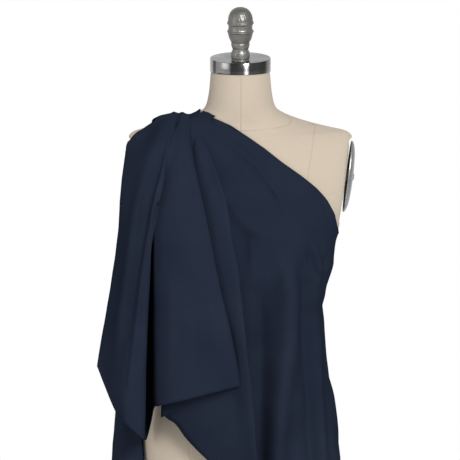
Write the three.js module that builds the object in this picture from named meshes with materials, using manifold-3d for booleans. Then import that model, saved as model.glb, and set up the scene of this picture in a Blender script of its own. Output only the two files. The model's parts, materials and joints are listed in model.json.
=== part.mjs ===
// Professional dress form on a rolling stand, with a length of cloth draped over its right shoulder.
// Millimetres, +Z up. The origin is on the floor under the mast. The form faces -Y, its left arm is at +X.
import * as THREE from "three";
import { mergeVertices } from "three/addons/utils/BufferGeometryUtils.js";
import Module from "manifold-3d";

const wasm = await Module();
wasm.setup();

// ---------------------------------------------------------------- driving dimensions
const BASE_REACH = 262; // mast axis to caster stem
const WHEEL_R = 30; // caster wheel radius, to its flats
const WHEEL_W = 22;
const CASTER_TRAIL = 18;
const COLUMN_R = 19;
const COLUMN_IN = 16.4;
const COLUMN_BOTTOM = 98;
const COLUMN_TOP = 470;
const MAST_R = 14;
const MAST_IN = 12;
const MAST_BOTTOM = 252;
const MAST_TOP = 765.6;
const FORM_BOTTOM = 770;
const SHELL_T = 4; // papier-mache wall
const CANVAS_T = 1.2; // linen cover with its padding
const GAP = 0.45;
const NECK_TILT = (-1 * Math.PI) / 180; // neck rim, forward is positive
const CAP_WEDGE = (4 * Math.PI) / 180; // the cap's top slopes forward from its rim by this
const NECK_RIM_Z = 1513; // middle of the neck's top rim
const CAP_R = 52.8;
const CAP_H = 24;
const KNOB_H = 94.1;
const KNOB_Y = -27; // the knob stands in front of the cap's middle
const BUST_Z = 1228;
const ARM_Z = 1328; // middle of the arm plate
const ARM_Y = 3;
const ARM_HOLE = [40, 56]; // armhole half axes along Y and Z
const ARM_PLATE = [44, 63];
const ARM_LEAN = 0.12; // armhole plane: x grows by this much per mm of height
const ARM_X = 182;
const CLOTH_T = 3;
const HEM_Z = 660;

// ---------------------------------------------------------------- materials
const mat = (hex, roughness, metalness = 0) =>
  new THREE.MeshStandardMaterial({ color: hex, roughness, metalness });
const LINEN = mat(0xd2c6b4, 0.85);
const MACHE = mat(0x8f7a5c, 0.9);
const WOOD = mat(0x6b4a2e, 0.7);
const DARK_WOOD = mat(0x2b241d, 0.75);
const STEEL = mat(0xb9b9bb, 0.22, 1);
const CAST_GREY = mat(0x777675, 0.42, 0.8);
const IRON = mat(0x5d5d5e, 0.5, 0.8);
const CHROME = mat(0xc9cacc, 0.15, 1);
const BLACK_PLASTIC = mat(0x1b1b1c, 0.5);
const RUBBER = mat(0x2a2a2b, 0.8);
const ZINC = mat(0x9c9d9f, 0.35, 1);
const NYLON = mat(0xe7e4dc, 0.5);
const CLOTH = mat(0x2a303e, 0.8);

// ---------------------------------------------------------------- solids
// A closed geometry as a solid, with its faces pointing out.
function solid(geometry) {
  const g = geometry.index ? geometry.toNonIndexed() : geometry.clone();
  const bare = new THREE.BufferGeometry().setAttribute(
    "position",
    g.getAttribute("position"),
  );
  const merged = mergeVertices(bare, 1e-3);
  const tri = [];
  const idx = merged.index.array;
  for (let i = 0; i < idx.length; i += 3)
    if (idx[i] !== idx[i + 1] && idx[i + 1] !== idx[i + 2] && idx[i] !== idx[i + 2])
      tri.push(idx[i], idx[i + 1], idx[i + 2]);
  const make = (t) =>
    new wasm.Manifold(
      new wasm.Mesh({
        numProp: 3,
        vertProperties: merged.attributes.position.array,
        triVerts: new Uint32Array(t),
      }),
    );
  const made = make(tri);
  if (made.volume() >= 0) return made;
  const back = [];
  for (let i = 0; i < tri.length; i += 3) back.push(tri[i], tri[i + 2], tri[i + 1]);
  return make(back);
}
function geometryOf(manifold) {
  const m = manifold.getMesh();
  const n = m.numProp;
  const v = new Float32Array(m.numVert * 3);
  for (let i = 0; i < m.numVert; i++)
    v.set(m.vertProperties.subarray(i * n, i * n + 3), i * 3);
  const g = new THREE.BufferGeometry();
  g.setAttribute("position", new THREE.BufferAttribute(v, 3));
  g.setIndex(new THREE.BufferAttribute(new Uint32Array(m.triVerts), 1));
  g.computeVertexNormals();
  return g;
}
const join = (list) => list.reduce((a, b) => a.add(b));

// A profile of [radius, height] pairs turned about Z.
function turned(profile, segments = 32, phase = 0) {
  const g = new THREE.LatheGeometry(
    profile.map((p) => new THREE.Vector2(p[0], p[1])),
    segments,
    phase,
  );
  g.rotateX(Math.PI / 2);
  return g;
}
// A tube or rod about Z.
const rod = (r, z0, z1, seg = 20) =>
  turned([[0, z0], [r, z0], [r, z1], [0, z1]], seg);
const tube = (r0, r1, z0, z1, seg = 20) =>
  turned([[r0, z0], [r1, z0], [r1, z1], [r0, z1], [r0, z0]], seg);
const moved = (g, x, y, z) => g.clone().translate(x, y, z);
const alongX = (g) => g.clone().rotateY(Math.PI / 2);
const alongY = (g) => g.clone().rotateX(-Math.PI / 2);

// Rings of points joined into a closed body, with flat ends.
function loft(rings) {
  const p = [];
  const t = (a, b, c) => p.push(...a, ...b, ...c);
  const n = rings[0].length;
  const mid = (r) => [0, 1, 2].map((k) => r.reduce((s, q) => s + q[k], 0) / n);
  for (let j = 0; j + 1 < rings.length; j++)
    for (let i = 0; i < n; i++) {
      const k = (i + 1) % n;
      t(rings[j][i], rings[j][k], rings[j + 1][k]);
      t(rings[j][i], rings[j + 1][k], rings[j + 1][i]);
    }
  const a = mid(rings[0]);
  const last = rings[rings.length - 1];
  const b = mid(last);
  for (let i = 0; i < n; i++) {
    const k = (i + 1) % n;
    t(a, rings[0][k], rings[0][i]);
    t(b, last[i], last[k]);
  }
  const g = new THREE.BufferGeometry();
  g.setAttribute("position", new THREE.Float32BufferAttribute(p, 3));
  return g;
}

// Two matching grids of points, [row][column], joined into a closed sheet of material.
function sheet(outer, inner, ring = false) {
  const p = [];
  const quad = (a, b, c, d) => p.push(...a, ...b, ...c, ...a, ...c, ...d);
  const m = outer.length - 1;
  const cols = outer[0].length;
  const n = ring ? cols : cols - 1;
  const at = (g, j, i) => g[j][i % cols];
  for (let j = 0; j < m; j++)
    for (let i = 0; i < n; i++) {
      quad(at(outer, j, i), at(outer, j, i + 1), at(outer, j + 1, i + 1), at(outer, j + 1, i));
      quad(at(inner, j, i), at(inner, j + 1, i), at(inner, j + 1, i + 1), at(inner, j, i + 1));
    }
  for (let i = 0; i < n; i++) {
    quad(at(outer, 0, i), at(inner, 0, i), at(inner, 0, i + 1), at(outer, 0, i + 1));
    quad(at(outer, m, i), at(outer, m, i + 1), at(inner, m, i + 1), at(inner, m, i));
  }
  if (!ring)
    for (let j = 0; j < m; j++) {
      quad(outer[j][0], outer[j + 1][0], inner[j + 1][0], inner[j][0]);
      quad(outer[j][n], inner[j][n], inner[j + 1][n], outer[j + 1][n]);
    }
  const g = new THREE.BufferGeometry();
  g.setAttribute("position", new THREE.Float32BufferAttribute(p, 3));
  return g;
}

// ---------------------------------------------------------------- the body's surface
// Stations up the form: height, half width, front depth, back depth, middle y, section exponent, forward slope.
const STATIONS = [
  [770, 160, 78, 100, 0, 2.2, 0],
  [800, 168, 87, 111, 0, 2.2, 0],
  [860, 171, 95, 119, 0, 2.2, 0],
  [930, 164, 98, 110, 0, 2.2, 0],
  [1000, 143, 93, 88, 0, 2.2, 0],
  [1060, 126, 84, 72, 0, 2.15, 0],
  [1110, 133, 90, 76, 0, 2.2, 0],
  [1160, 150, 99, 86, 0, 2.3, 0],
  [1210, 163, 106, 94, 0, 2.4, 0],
  [1250, 176, 104, 98, 0, 2.5, 0],
  [1290, 190, 98, 99, 2, 2.6, 0],
  [1330, 199, 89, 97, 4, 2.6, 0],
  [1370, 199.5, 79, 91, 6, 2.4, 0],
  [1393, 197, 71, 81, 8, 2.1, 0],
  [1405.5, 187, 65.5, 73, 9, 1.85, 0],
  [1412.5, 160, 62, 69, 9, 1.75, 0],
  [1419.5, 131, 60, 66, 9, 1.72, 0],
  [1428, 102, 58, 63, 8, 1.8, 0],
  [1437, 79, 56.5, 59, 6, 1.95, 0],
  [1450, 61.5, 55, 55, 3, 2, 0],
  [1476, 54.8, 53, 53, 0, 2, -0.005],
  [NECK_RIM_Z, 51.4, 51.4, 51.4, -1, 2, Math.tan(NECK_TILT)],
];
const LAST = STATIONS.length - 1;
// Shape-preserving cubic through the stations, at parameter v from 0 to LAST.
function station(k, v) {
  const y = (i) => STATIONS[i][k];
  const slope = (i) => {
    if (i === 0) return y(1) - y(0);
    if (i === LAST) return y(LAST) - y(LAST - 1);
    const a = y(i) - y(i - 1);
    const b = y(i + 1) - y(i);
    return a * b <= 0 ? 0 : (2 * a * b) / (a + b);
  };
  const i = Math.min(LAST - 1, Math.max(0, Math.floor(v)));
  const t = v - i;
  const t2 = t * t;
  const t3 = t2 * t;
  return (
    (2 * t3 - 3 * t2 + 1) * y(i) +
    (t3 - 2 * t2 + t) * slope(i) +
    (-2 * t3 + 3 * t2) * y(i + 1) +
    (t3 - t2) * slope(i + 1)
  );
}
function stationAt(z) {
  let lo = 0;
  let hi = LAST;
  for (let k = 0; k < 40; k++) {
    const m = (lo + hi) / 2;
    if (station(0, m) < z) lo = m;
    else hi = m;
  }
  return (lo + hi) / 2;
}
const bell = (d, s) => Math.exp(-(d * d) / (2 * s * s));
function armPlane(z) {
  if (z < 1250) return ARM_X + ARM_LEAN * (1250 - ARM_Z) + (1250 - z) * 0.7;
  if (z > 1393) return ARM_X + ARM_LEAN * (1393 - ARM_Z) + (z - 1393) * 2;
  return ARM_X + ARM_LEAN * (z - ARM_Z);
}
function softMin(a, b, k) {
  const m = Math.min(a, b);
  return m - k * Math.log(Math.exp(-(a - m) / k) + Math.exp(-(b - m) / k));
}
// Angle 0 is the left side (+X), 90 degrees the back (+Y), 270 the front.
function surface(theta, v) {
  const z = station(0, v);
  const a = station(1, v);
  const f = station(2, v);
  const b = station(3, v);
  const yc = station(4, v);
  const n = station(5, v);
  const lean = station(6, v);
  const c = Math.cos(theta);
  const s = Math.sin(theta);
  let x = a * Math.sign(c) * Math.pow(Math.abs(c), 2 / n);
  let y = (s > 0 ? b : f) * Math.sign(s) * Math.pow(Math.abs(s), 2 / n);
  const front = s < 0 ? Math.min(1, Math.pow(-s, 0.8)) : 0;
  const back = s > 0 ? Math.min(1, s) : 0;
  const bust = bell(z - BUST_Z, z > BUST_Z ? 50 : 42);
  y -= 38 * front * bust * (bell(x - 90, 42) + bell(x + 90, 42));
  y += back * 9 * bell(z - 1290, 55) * (bell(x - 85, 42) + bell(x + 85, 42));
  y += back * 9 * bell(z - 868, 55) * (bell(x - 70, 45) + bell(x + 70, 45));
  y -= back * 7 * bell(x, 22) * bell(z - 1120, 150);
  const side = softMin(Math.abs(x), armPlane(z), 2.2);
  if (v > 8 && v < 14.3) x = Math.sign(x) * Math.min(Math.abs(x), side + 1e-9);
  return [x, y + yc, z + lean * y];
}
function offsetPoint(theta, v, d) {
  const e = 1e-3;
  const vv = Math.min(LAST - e, Math.max(e, v));
  const p = surface(theta, v);
  const sub = (a, b) => a.map((q, k) => q - b[k]);
  const du = sub(surface(theta + e, vv), surface(theta - e, vv));
  const dv = sub(surface(theta, vv + e), surface(theta, vv - e));
  const n = [
    du[1] * dv[2] - du[2] * dv[1],
    du[2] * dv[0] - du[0] * dv[2],
    du[0] * dv[1] - du[1] * dv[0],
  ];
  const l = Math.hypot(...n) || 1;
  return p.map((q, k) => q + (n[k] / l) * d);
}
// Rows of the body's mesh, closer together where it curves.
const NECK_V = 17.5; // neck seam
const ROWS = [0, 1.2, 2.2, 3.3, 4.4, 5.5, 6.6, 7.5, 8.3, 9.2, 10.6, 12, 13, 14, 15, 16, NECK_V, 18.4, 19.5, 21];
const RAD = Math.PI / 180;
function skin(deg0, deg1, steps, rows, dOut, dIn, inset = 0) {
  const outer = [];
  const inner = [];
  for (const v of rows) {
    const a = [];
    const b = [];
    for (let i = 0; i <= steps; i++) {
      // the seam gap keeps neighbouring panels apart
      let th = (deg0 + ((deg1 - deg0) * i) / steps) * RAD;
      if (inset) {
        const p = surface(th, v);
        const q = surface(th + 0.01, v);
        const perRad = Math.hypot(p[0] - q[0], p[1] - q[1]) / 0.01;
        const shift = Math.min(0.02, inset / Math.max(10, perRad));
        if (i === 0) th += shift;
        if (i === steps) th -= shift;
      }
      a.push(offsetPoint(th, v, dOut));
      b.push(offsetPoint(th, v, dIn));
    }
    outer.push(a);
    inner.push(b);
  }
  return sheet(outer, inner);
}
// Elliptical bar through an armhole, along X.
function armBar(ry, rz, x0, x1, seg = 24) {
  const ring = (x) =>
    Array.from({ length: seg }, (_, i) => {
      const t = (i / seg) * Math.PI * 2;
      return [x, ARM_Y + ry * Math.cos(t), ARM_Z + rz * Math.sin(t)];
    });
  return solid(loft([ring(x0), ring(x1)]));
}

const group = new THREE.Group();
function add(parent, name, shape, material) {
  const g = shape instanceof THREE.BufferGeometry ? geometryOf(solid(shape)) : geometryOf(shape);
  const mesh = new THREE.Mesh(g, material);
  mesh.name = name;
  parent.add(mesh);
  return mesh;
}

// ---------------------------------------------------------------- form: shells and cover
const form = new THREE.Group();
group.add(form);
const shellOut = -CANVAS_T - GAP;
const shellIn = shellOut - SHELL_T;
const shellRows = ROWS;
const leftHole = armBar(ARM_HOLE[0], ARM_HOLE[1], 120, 230);
const rightHole = armBar(ARM_HOLE[0], ARM_HOLE[1], -230, -120);
const cutArms = (s) => s.subtract(leftHole).subtract(rightHole);
add(form, "shell_back", cutArms(solid(skin(0, 180, 16, shellRows, shellOut, shellIn, 0.35))), MACHE);
add(form, "shell_front", cutArms(solid(skin(180, 360, 16, shellRows, shellOut, shellIn, 0.35))), MACHE);

const bodyRows = [...ROWS.filter((v) => v < NECK_V - 0.2), NECK_V - 0.006];
const neckRows = [NECK_V + 0.006, ...ROWS.filter((v) => v > NECK_V + 0.2)];
const PANELS = [
  ["canvas_side_back_left", 0, 45],
  ["canvas_center_back_left", 45, 90],
  ["canvas_center_back_right", 90, 135],
  ["canvas_side_back_right", 135, 180],
  ["canvas_side_front_right", 180, 225],
  ["canvas_center_front_right", 225, 270],
  ["canvas_center_front_left", 270, 315],
  ["canvas_side_front_left", 315, 360],
];
for (const [name, d0, d1] of PANELS) {
  let s = solid(skin(d0, d1, (d1 - d0) / 11.25, bodyRows, 0, -CANVAS_T, 0.2));
  if (name.includes("side")) s = name.includes("left") ? s.subtract(leftHole) : s.subtract(rightHole);
  add(form, name, s, LINEN);
}
add(form, "canvas_neck_left", skin(-90, 90, 16, neckRows, 0, -CANVAS_T, 0.2), LINEN);
add(form, "canvas_neck_right", skin(90, 270, 16, neckRows, 0, -CANVAS_T, 0.2), LINEN);

// ---------------------------------------------------------------- form: neck
const neck = new THREE.Group();
neck.position.set(0, STATIONS[LAST][4], NECK_RIM_Z);
neck.rotation.x = NECK_TILT;
form.add(neck);
// Leans the upper part of a turned piece over, so its top slopes.
function wedged(geometry) {
  const p = geometry.attributes.position;
  for (let i = 0; i < p.count; i++)
    if (p.getZ(i) > 0)
      p.setZ(i, p.getZ(i) * (1 + (p.getY(i) * Math.tan(CAP_WEDGE)) / CAP_H));
  return geometry;
}
const knobSeat = new THREE.Group();
knobSeat.position.set(0, KNOB_Y, CAP_H + KNOB_Y * Math.tan(CAP_WEDGE));
knobSeat.rotation.x = CAP_WEDGE;
neck.add(knobSeat);
knobSeat.updateMatrix();
const knobBore = solid(rod(5.5, -110, 60, 16).applyMatrix4(knobSeat.matrix));
add(
  neck,
  "neck_block",
  solid(wedged(turned([[0, -42], [43, -42], [43, 0.6], [50.2, 0.6], [50.2, CAP_H - 2.2], [0, CAP_H - 2.2]], 24))).subtract(knobBore),
  WOOD,
);
add(
  neck,
  "neck_cap",
  solid(
    wedged(
      turned(
        [[0, CAP_H - 1.8], [51, CAP_H - 1.8], [51, 0.6], [CAP_R, 0.6], [CAP_R, CAP_H - 1], [CAP_R - 1, CAP_H], [0, CAP_H]],
        32,
      ),
    ),
  ).subtract(knobBore),
  STEEL,
);
add(knobSeat, "neck_stud", turned([[0, -75], [5, -75], [5, 41], [4, 42], [0, 42]], 12), ZINC);
add(knobSeat, "neck_stud_nut", solid(rod(9.5, -72.5, -65.3, 6)).subtract(solid(rod(5.4, -90, -50, 16))), ZINC);
const KNOB = [
  [5.5, 0], [15.6, 0], [15.6, 3.2], [16.3, 4.4], [16.3, 14.8], [13.8, 19.4], [13.8, 21.6], [16, 29.6],
  [16.8, 33], [18.4, 37], [20.2, 42], [21.4, 47.8], [23.2, 50.6], [23.2, 53.2], [20.9, 55.6],
  [20.9, 62], [23.2, 64.6], [23.2, 68.4], [21.5, 71], [20.8, 76.5], [18.5, 83.2], [14.2, 89], [8.4, 92.8], [0, KNOB_H],
];
add(
  knobSeat,
  "neck_knob",
  turned([...KNOB.map(([r, z]) => [r, 0.4 + z]), [0, 43.4], [5.5, 43.4], [5.5, 0.4]], 20),
  CAST_GREY,
);

// ---------------------------------------------------------------- form: arm plates
for (const [side, sx] of [["left", 1], ["right", -1]]) {
  const arm = new THREE.Group();
  arm.position.set(sx * ARM_X, ARM_Y, ARM_Z);
  arm.rotation.y = sx * Math.atan(ARM_LEAN);
  form.add(arm);
  const ellipse = (x, ry, rz, seg = 24) =>
    Array.from({ length: seg }, (_, i) => {
      const t = (i / seg) * Math.PI * 2;
      return [sx * x, ry * Math.cos(t), rz * Math.sin(t)];
    });
  const hole = solid(alongX(rod(3.7, -40, 40, 12)));
  // dark board that closes the armhole
  add(
    arm,
    `armhole_board_${side}`,
    solid(loft([ellipse(-11, ARM_HOLE[0] - 1, ARM_HOLE[1] - 1.6), ellipse(-4, ARM_HOLE[0] - 1, ARM_HOLE[1] - 1.6)])).subtract(hole),
    DARK_WOOD,
  );
  // domed steel plate standing off the armhole
  const [py, pz] = ARM_PLATE;
  const dome = solid(
    loft([
      ellipse(4.2, py, pz),
      ellipse(6.4, py, pz),
      ellipse(9.4, py * 0.93, pz * 0.93),
      ellipse(12, py * 0.78, pz * 0.78),
      ellipse(13.8, py * 0.55, pz * 0.55),
      ellipse(14.6, py * 0.28, pz * 0.28),
    ]),
  );
  const dish = solid(
    loft([
      ellipse(2, py - 5, pz - 5),
      ellipse(6, py - 5, pz - 5),
      ellipse(9.8, py * 0.7, pz * 0.7),
      ellipse(11.4, py * 0.45, pz * 0.45),
    ]),
  );
  add(arm, `arm_plate_${side}`, dome.subtract(dish).subtract(hole), STEEL);
  add(arm, `arm_plate_spacer_${side}`, alongX(tube(3.7, 8, sx > 0 ? -3.6 : -10.9, sx > 0 ? 10.9 : 3.6, 12)), ZINC);
  const bolt = [[0, -20], [3.2, -20], [3.2, 14.9], [7, 14.9], [7, 16.4], [5.4, 18], [0, 18]];
  const g = alongX(turned(bolt, 12));
  if (sx < 0) g.scale(-1, 1, 1);
  add(arm, `arm_plate_bolt_${side}`, g, ZINC);
}

// ---------------------------------------------------------------- form: bottom board and socket
const boardV = stationAt(774);
const boardShape = new THREE.Shape();
for (let i = 0; i < 24; i++) {
  const p = offsetPoint(i * 15 * RAD, boardV, shellIn - 2);
  if (i) boardShape.lineTo(p[0], p[1]);
  else boardShape.moveTo(p[0], p[1]);
}
boardShape.closePath();
const board = new THREE.ExtrudeGeometry(boardShape, { depth: 12, bevelEnabled: false, steps: 1 });
board.translate(0, 0, 774);
const SCREWS = [45, 135, 225, 315].map((d) => [34 * Math.cos(d * RAD), 34 * Math.sin(d * RAD)]);
const screwHoles = join(SCREWS.map(([x, y]) => solid(moved(rod(2.8, 740, 800, 10), x, y, 0))));
add(form, "bottom_board", solid(board).subtract(screwHoles), WOOD);
const lockHole = solid(moved(alongY(rod(3.9, 0, 60, 12)), 0, 0, 722));
const lockBoss = solid(moved(alongY(rod(8.5, 15.5, 30, 12)), 0, 0, 722));
const socketBore = solid(rod(MAST_R + 0.4, 600, 766.2, 20));
add(
  form,
  "pole_socket",
  solid(turned([[0, 692], [20, 692], [20, 758], [26, 766], [46, 768], [46, 773.6], [0, 773.6]], 20))
    .add(lockBoss)
    .subtract(socketBore)
    .subtract(lockHole)
    .subtract(screwHoles),
  CAST_GREY,
);
SCREWS.forEach(([x, y], i) =>
  add(form, `socket_screw_${i + 1}`, moved(turned([[0, 762.6], [3.4, 762.6], [4.6, 764], [4.6, 765.8], [2.3, 765.8], [2.3, 784], [0, 784]], 8), x, y, 0), ZINC),
);
// star-headed hand screw along +Y
function handScrew(r, tip, under, length, headR) {
  const shaft = solid(rod(r, tip, under + 2, 12));
  const star = new THREE.Shape();
  const lobes = 6;
  for (let i = 0; i < 24; i++) {
    const t = (i / 24) * Math.PI * 2;
    const q = headR * (1 + 0.12 * Math.cos(lobes * t));
    if (i) star.lineTo(q * Math.cos(t), q * Math.sin(t));
    else star.moveTo(q * Math.cos(t), q * Math.sin(t));
  }
  star.closePath();
  const head = new THREE.ExtrudeGeometry(star, { depth: length, bevelEnabled: false, steps: 1 });
  head.translate(0, 0, under);
  return shaft.add(solid(head));
}
const swivelLock = new THREE.Group();
swivelLock.position.set(0, 0, 722);
swivelLock.rotation.x = -Math.PI / 2;
form.add(swivelLock);
add(swivelLock, "swivel_lock_screw", handScrew(3.5, MAST_R + 0.5, 32, 12, 11), BLACK_PLASTIC);

// ---------------------------------------------------------------- stand: mast and column
const stand = new THREE.Group();
group.add(stand);
add(stand, "mast", tube(MAST_IN, MAST_R, MAST_BOTTOM, MAST_TOP), CHROME);
add(stand, "mast_end_plug", turned([[0, MAST_BOTTOM + 20], [11.6, MAST_BOTTOM + 20], [11.6, MAST_BOTTOM - 0.4], [14, MAST_BOTTOM - 0.4], [14, MAST_BOTTOM - 4], [0, MAST_BOTTOM - 4]], 12), BLACK_PLASTIC);
add(stand, "column", tube(COLUMN_IN, COLUMN_R, COLUMN_BOTTOM, COLUMN_TOP), IRON);
add(
  stand,
  "guide_bush",
  turned([[14.3, 428], [16.1, 428], [16.1, COLUMN_TOP + 0.3], [18.6, COLUMN_TOP + 0.3], [18.6, COLUMN_TOP + 3], [14.3, COLUMN_TOP + 3], [14.3, 428]], 20),
  NYLON,
);
const clampHole = solid(moved(alongY(rod(4.4, 0, 60, 12)), 0, 0, 486));
const clampBoss = solid(moved(alongY(rod(10, 20, 36, 12)), 0, 0, 486));
add(
  stand,
  "column_collar",
  solid(
    turned(
      [[COLUMN_R + 0.4, 436], [26, 436], [28, 440], [28, 494], [24, 500], [14.5, 500], [14.5, COLUMN_TOP + 3.4], [COLUMN_R + 0.4, COLUMN_TOP + 3.4], [COLUMN_R + 0.4, 436]],
      20,
    ),
  )
    .add(clampBoss.subtract(solid(rod(20, 400, 520, 24))))
    .subtract(clampHole),
  CAST_GREY,
);
const heightLock = new THREE.Group();
heightLock.position.set(0, 0, 486);
heightLock.rotation.x = -Math.PI / 2;
stand.add(heightLock);
add(heightLock, "height_lock_screw", handScrew(4, MAST_R + 0.5, 38, 15, 15), BLACK_PLASTIC);

// ---------------------------------------------------------------- stand: cast base
const LEG = [
  [20, 156, 17, 20], [60, 156, 16, 17], [105, 149, 14.5, 14.5], [150, 136, 13.5, 12.5], [195, 119, 12.5, 11.5], [235, 106, 12, 11], [BASE_REACH, 101, 12, 10.5],
];
function leg(angle) {
  const rings = LEG.map(([r, z, w, h]) =>
    Array.from({ length: 8 }, (_, i) => {
      const t = (i / 8) * Math.PI * 2 + Math.PI / 8;
      return [r, w * 1.06 * Math.cos(t), z + h * 1.06 * Math.sin(t)];
    }),
  );
  const g = loft(rings);
  g.rotateZ(angle);
  return solid(g);
}
const ANGLES = [0, 90, 180, 270].map((d) => d * RAD);
const hub = solid(turned([[0, 112], [46, 112], [50, 118], [50, 140], [45, 170], [32, 188], [31, 206], [27, 212], [27, 246], [24, 250], [0, 250]], 20));
let casting = hub;
for (const a of ANGLES) {
  casting = casting.add(leg(a));
  const boss = turned([[0, 84], [16, 84], [18, 87], [18, 108], [13, 114], [0, 114]], 12);
  boss.translate(BASE_REACH, 0, 0);
  boss.rotateZ(a);
  casting = casting.add(solid(boss));
}
casting = casting.subtract(solid(rod(COLUMN_R + 0.35, 0, 300, 20)));
for (const a of ANGLES) {
  const h = rod(6.2, 60, 109, 10);
  h.translate(BASE_REACH, 0, 0);
  h.rotateZ(a);
  casting = casting.subtract(solid(h));
}
add(stand, "base_casting", casting, CAST_GREY);
add(stand, "column_nut", solid(rod(31, 100, 111.6, 6)).subtract(solid(rod(COLUMN_R + 0.35, 90, 120, 20))), ZINC);

// ---------------------------------------------------------------- casters
const WHEEL_SEG = 20;
const CIRCUM = 1 / Math.cos(Math.PI / WHEEL_SEG);
ANGLES.forEach((a, k) => {
  const n = k + 1;
  const caster = new THREE.Group();
  caster.position.set(BASE_REACH * Math.cos(a), BASE_REACH * Math.sin(a), 0);
  caster.rotation.z = a;
  stand.add(caster);
  const cheek = new THREE.Shape();
  cheek.moveTo(-15, 68);
  cheek.lineTo(-15, 60);
  cheek.lineTo(CASTER_TRAIL - 10, WHEEL_R - 2);
  for (let i = 0; i <= 4; i++) {
    const t = Math.PI + (i / 4) * Math.PI;
    cheek.lineTo(CASTER_TRAIL + 10 * Math.cos(t), WHEEL_R + 10 * Math.sin(t));
  }
  cheek.lineTo(CASTER_TRAIL + 10, 60);
  cheek.lineTo(CASTER_TRAIL + 4, 68);
  cheek.closePath();
  const plate = new THREE.ExtrudeGeometry(cheek, { depth: 3, bevelEnabled: false, steps: 1 });
  plate.rotateX(Math.PI / 2); // shape's height becomes Z, its depth -Y
  const axleHole = solid(moved(alongY(rod(4.4, -40, 40, 10)), CASTER_TRAIL, 0, WHEEL_R));
  const crown = new THREE.BoxGeometry(37, 37, 5);
  crown.translate(3.5, 0, 66.5);
  const fork = join([
    solid(moved(plate, 0, -15.5, 0)),
    solid(moved(plate, 0, 18.5, 0)),
    solid(crown),
    solid(turned([[0, 68], [19, 68], [19, 75], [12, 81.5], [0, 81.5]], 14)),
    solid(rod(5.8, 80, 106, 10)),
  ]).subtract(axleHole);
  add(caster, `caster_fork_${n}`, fork, ZINC);
  const wheel = new THREE.Group();
  wheel.position.set(CASTER_TRAIL, 0, WHEEL_R);
  wheel.rotation.x = Math.PI / 2;
  caster.add(wheel);
  const w = WHEEL_W / 2;
  const R = WHEEL_R * CIRCUM;
  const turn = Math.PI / WHEEL_SEG;
  add(wheel, `caster_tyre_${n}`, turned([[23.6 * CIRCUM, -w], [R - 3, -w], [R, -w + 3], [R, w - 3], [R - 3, w], [23.6 * CIRCUM, w], [23.6 * CIRCUM, -w]], WHEEL_SEG, turn), RUBBER);
  add(
    wheel,
    `caster_hub_${n}`,
    turned([[4.5, -13], [8, -13], [8, -6], [23.2, -9.5], [23.2, 9.5], [8, 6], [8, 13], [4.5, 13], [4.5, -13]], 12, Math.PI / 12),
    BLACK_PLASTIC,
  );
  add(
    wheel,
    `caster_axle_${n}`,
    turned([[0, -23], [6.6, -22.4], [7, -18.9], [4, -18.9], [4, 18.9], [7, 18.9], [6.6, 22.4], [0, 23]], 10),
    ZINC,
  );
});

// ---------------------------------------------------------------- cloth
// Heights, half width, front depth, back depth of the cloth where it hangs clear of the form.
const HANG = [
  [600, 190, 118, 134], [700, 186, 116, 132], [770, 182, 115, 131], [860, 178, 117, 131], [940, 170, 121, 124], [1000, 161, 125, 114], [1060, 152, 130, 108],
  [1105, 147, 134, 106], [1150, 158, 139, 106], [1210, 170, 142, 108], [1260, 184, 135, 112], [1300, 200, 118, 116],
];
function hang(k, z) {
  let i = 0;
  while (i < HANG.length - 2 && HANG[i + 1][0] < z) i++;
  const t = Math.min(1, Math.max(0, (z - HANG[i][0]) / (HANG[i + 1][0] - HANG[i][0])));
  return HANG[i][k] + (HANG[i + 1][k] - HANG[i][k]) * t;
}
const smooth = (a, b, x) => {
  const t = Math.min(1, Math.max(0, (x - a) / (b - a)));
  return t * t * (3 - 2 * t);
};
function clothPoint(theta, z, d) {
  const c = Math.cos(theta);
  const s = Math.sin(theta);
  const n = 2.75;
  const h = [
    (hang(1, z) + d) * Math.sign(c) * Math.pow(Math.abs(c), 2 / n),
    ((s > 0 ? hang(3, z) : hang(2, z)) + d) * Math.sign(s) * Math.pow(Math.abs(s), 2 / n),
    z,
  ];
  if (z < 1150) return h;
  const on = offsetPoint(theta, stationAt(z), 3 + d);
  const w = smooth(1150, 1250, z);
  return h.map((q, k) => q * (1 - w) + on[k] * w);
}
// the top edge runs from under the left arm over the chest, and the back, to the right shoulder
function clothTop(deg) {
  const d = deg > 360 ? deg - 360 : deg; // 0 to 180 is the back
  if (deg <= 360) {
    const x = Math.cos(deg * RAD);
    return 1222 + (1404 - 1222) * smooth(1.05, -0.35, x);
  }
  const x = Math.cos(d * RAD);
  return 1222 + (1404 - 1222) * smooth(1.05, -0.45, x);
}
function clothHem(deg) {
  // the front edge runs down and across from under the cascade
  return HEM_Z + 235 * smooth(262, 222, deg) + 24 * Math.sin((deg - 200) * RAD * 3);
}
function wrap(deg0, deg1, steps, rows) {
  const outer = [];
  const inner = [];
  for (let j = 0; j <= rows; j++) {
    const a = [];
    const b = [];
    for (let i = 0; i <= steps; i++) {
      const deg = deg0 + ((deg1 - deg0) * i) / steps;
      const z0 = clothHem(deg);
      const z1 = clothTop(deg);
      const z = z0 + (z1 - z0) * (1 - Math.pow(1 - j / rows, 1.5));
      a.push(clothPoint(deg * RAD, z, CLOTH_T));
      b.push(clothPoint(deg * RAD, z, 0));
    }
    outer.push(a);
    inner.push(b);
  }
  return solid(sheet(outer, inner));
}
// over the shoulder
function saddle(deg0, deg1, steps, rows) {
  const outer = [];
  const inner = [];
  for (const v of rows) {
    const a = [];
    const b = [];
    for (let i = 0; i <= steps; i++) {
      const th = (deg0 + ((deg1 - deg0) * i) / steps) * RAD;
      a.push(offsetPoint(th, v, 3 + CLOTH_T));
      b.push(offsetPoint(th, v, 3));
    }
    outer.push(a);
    inner.push(b);
  }
  return solid(sheet(outer, inner));
}
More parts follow.
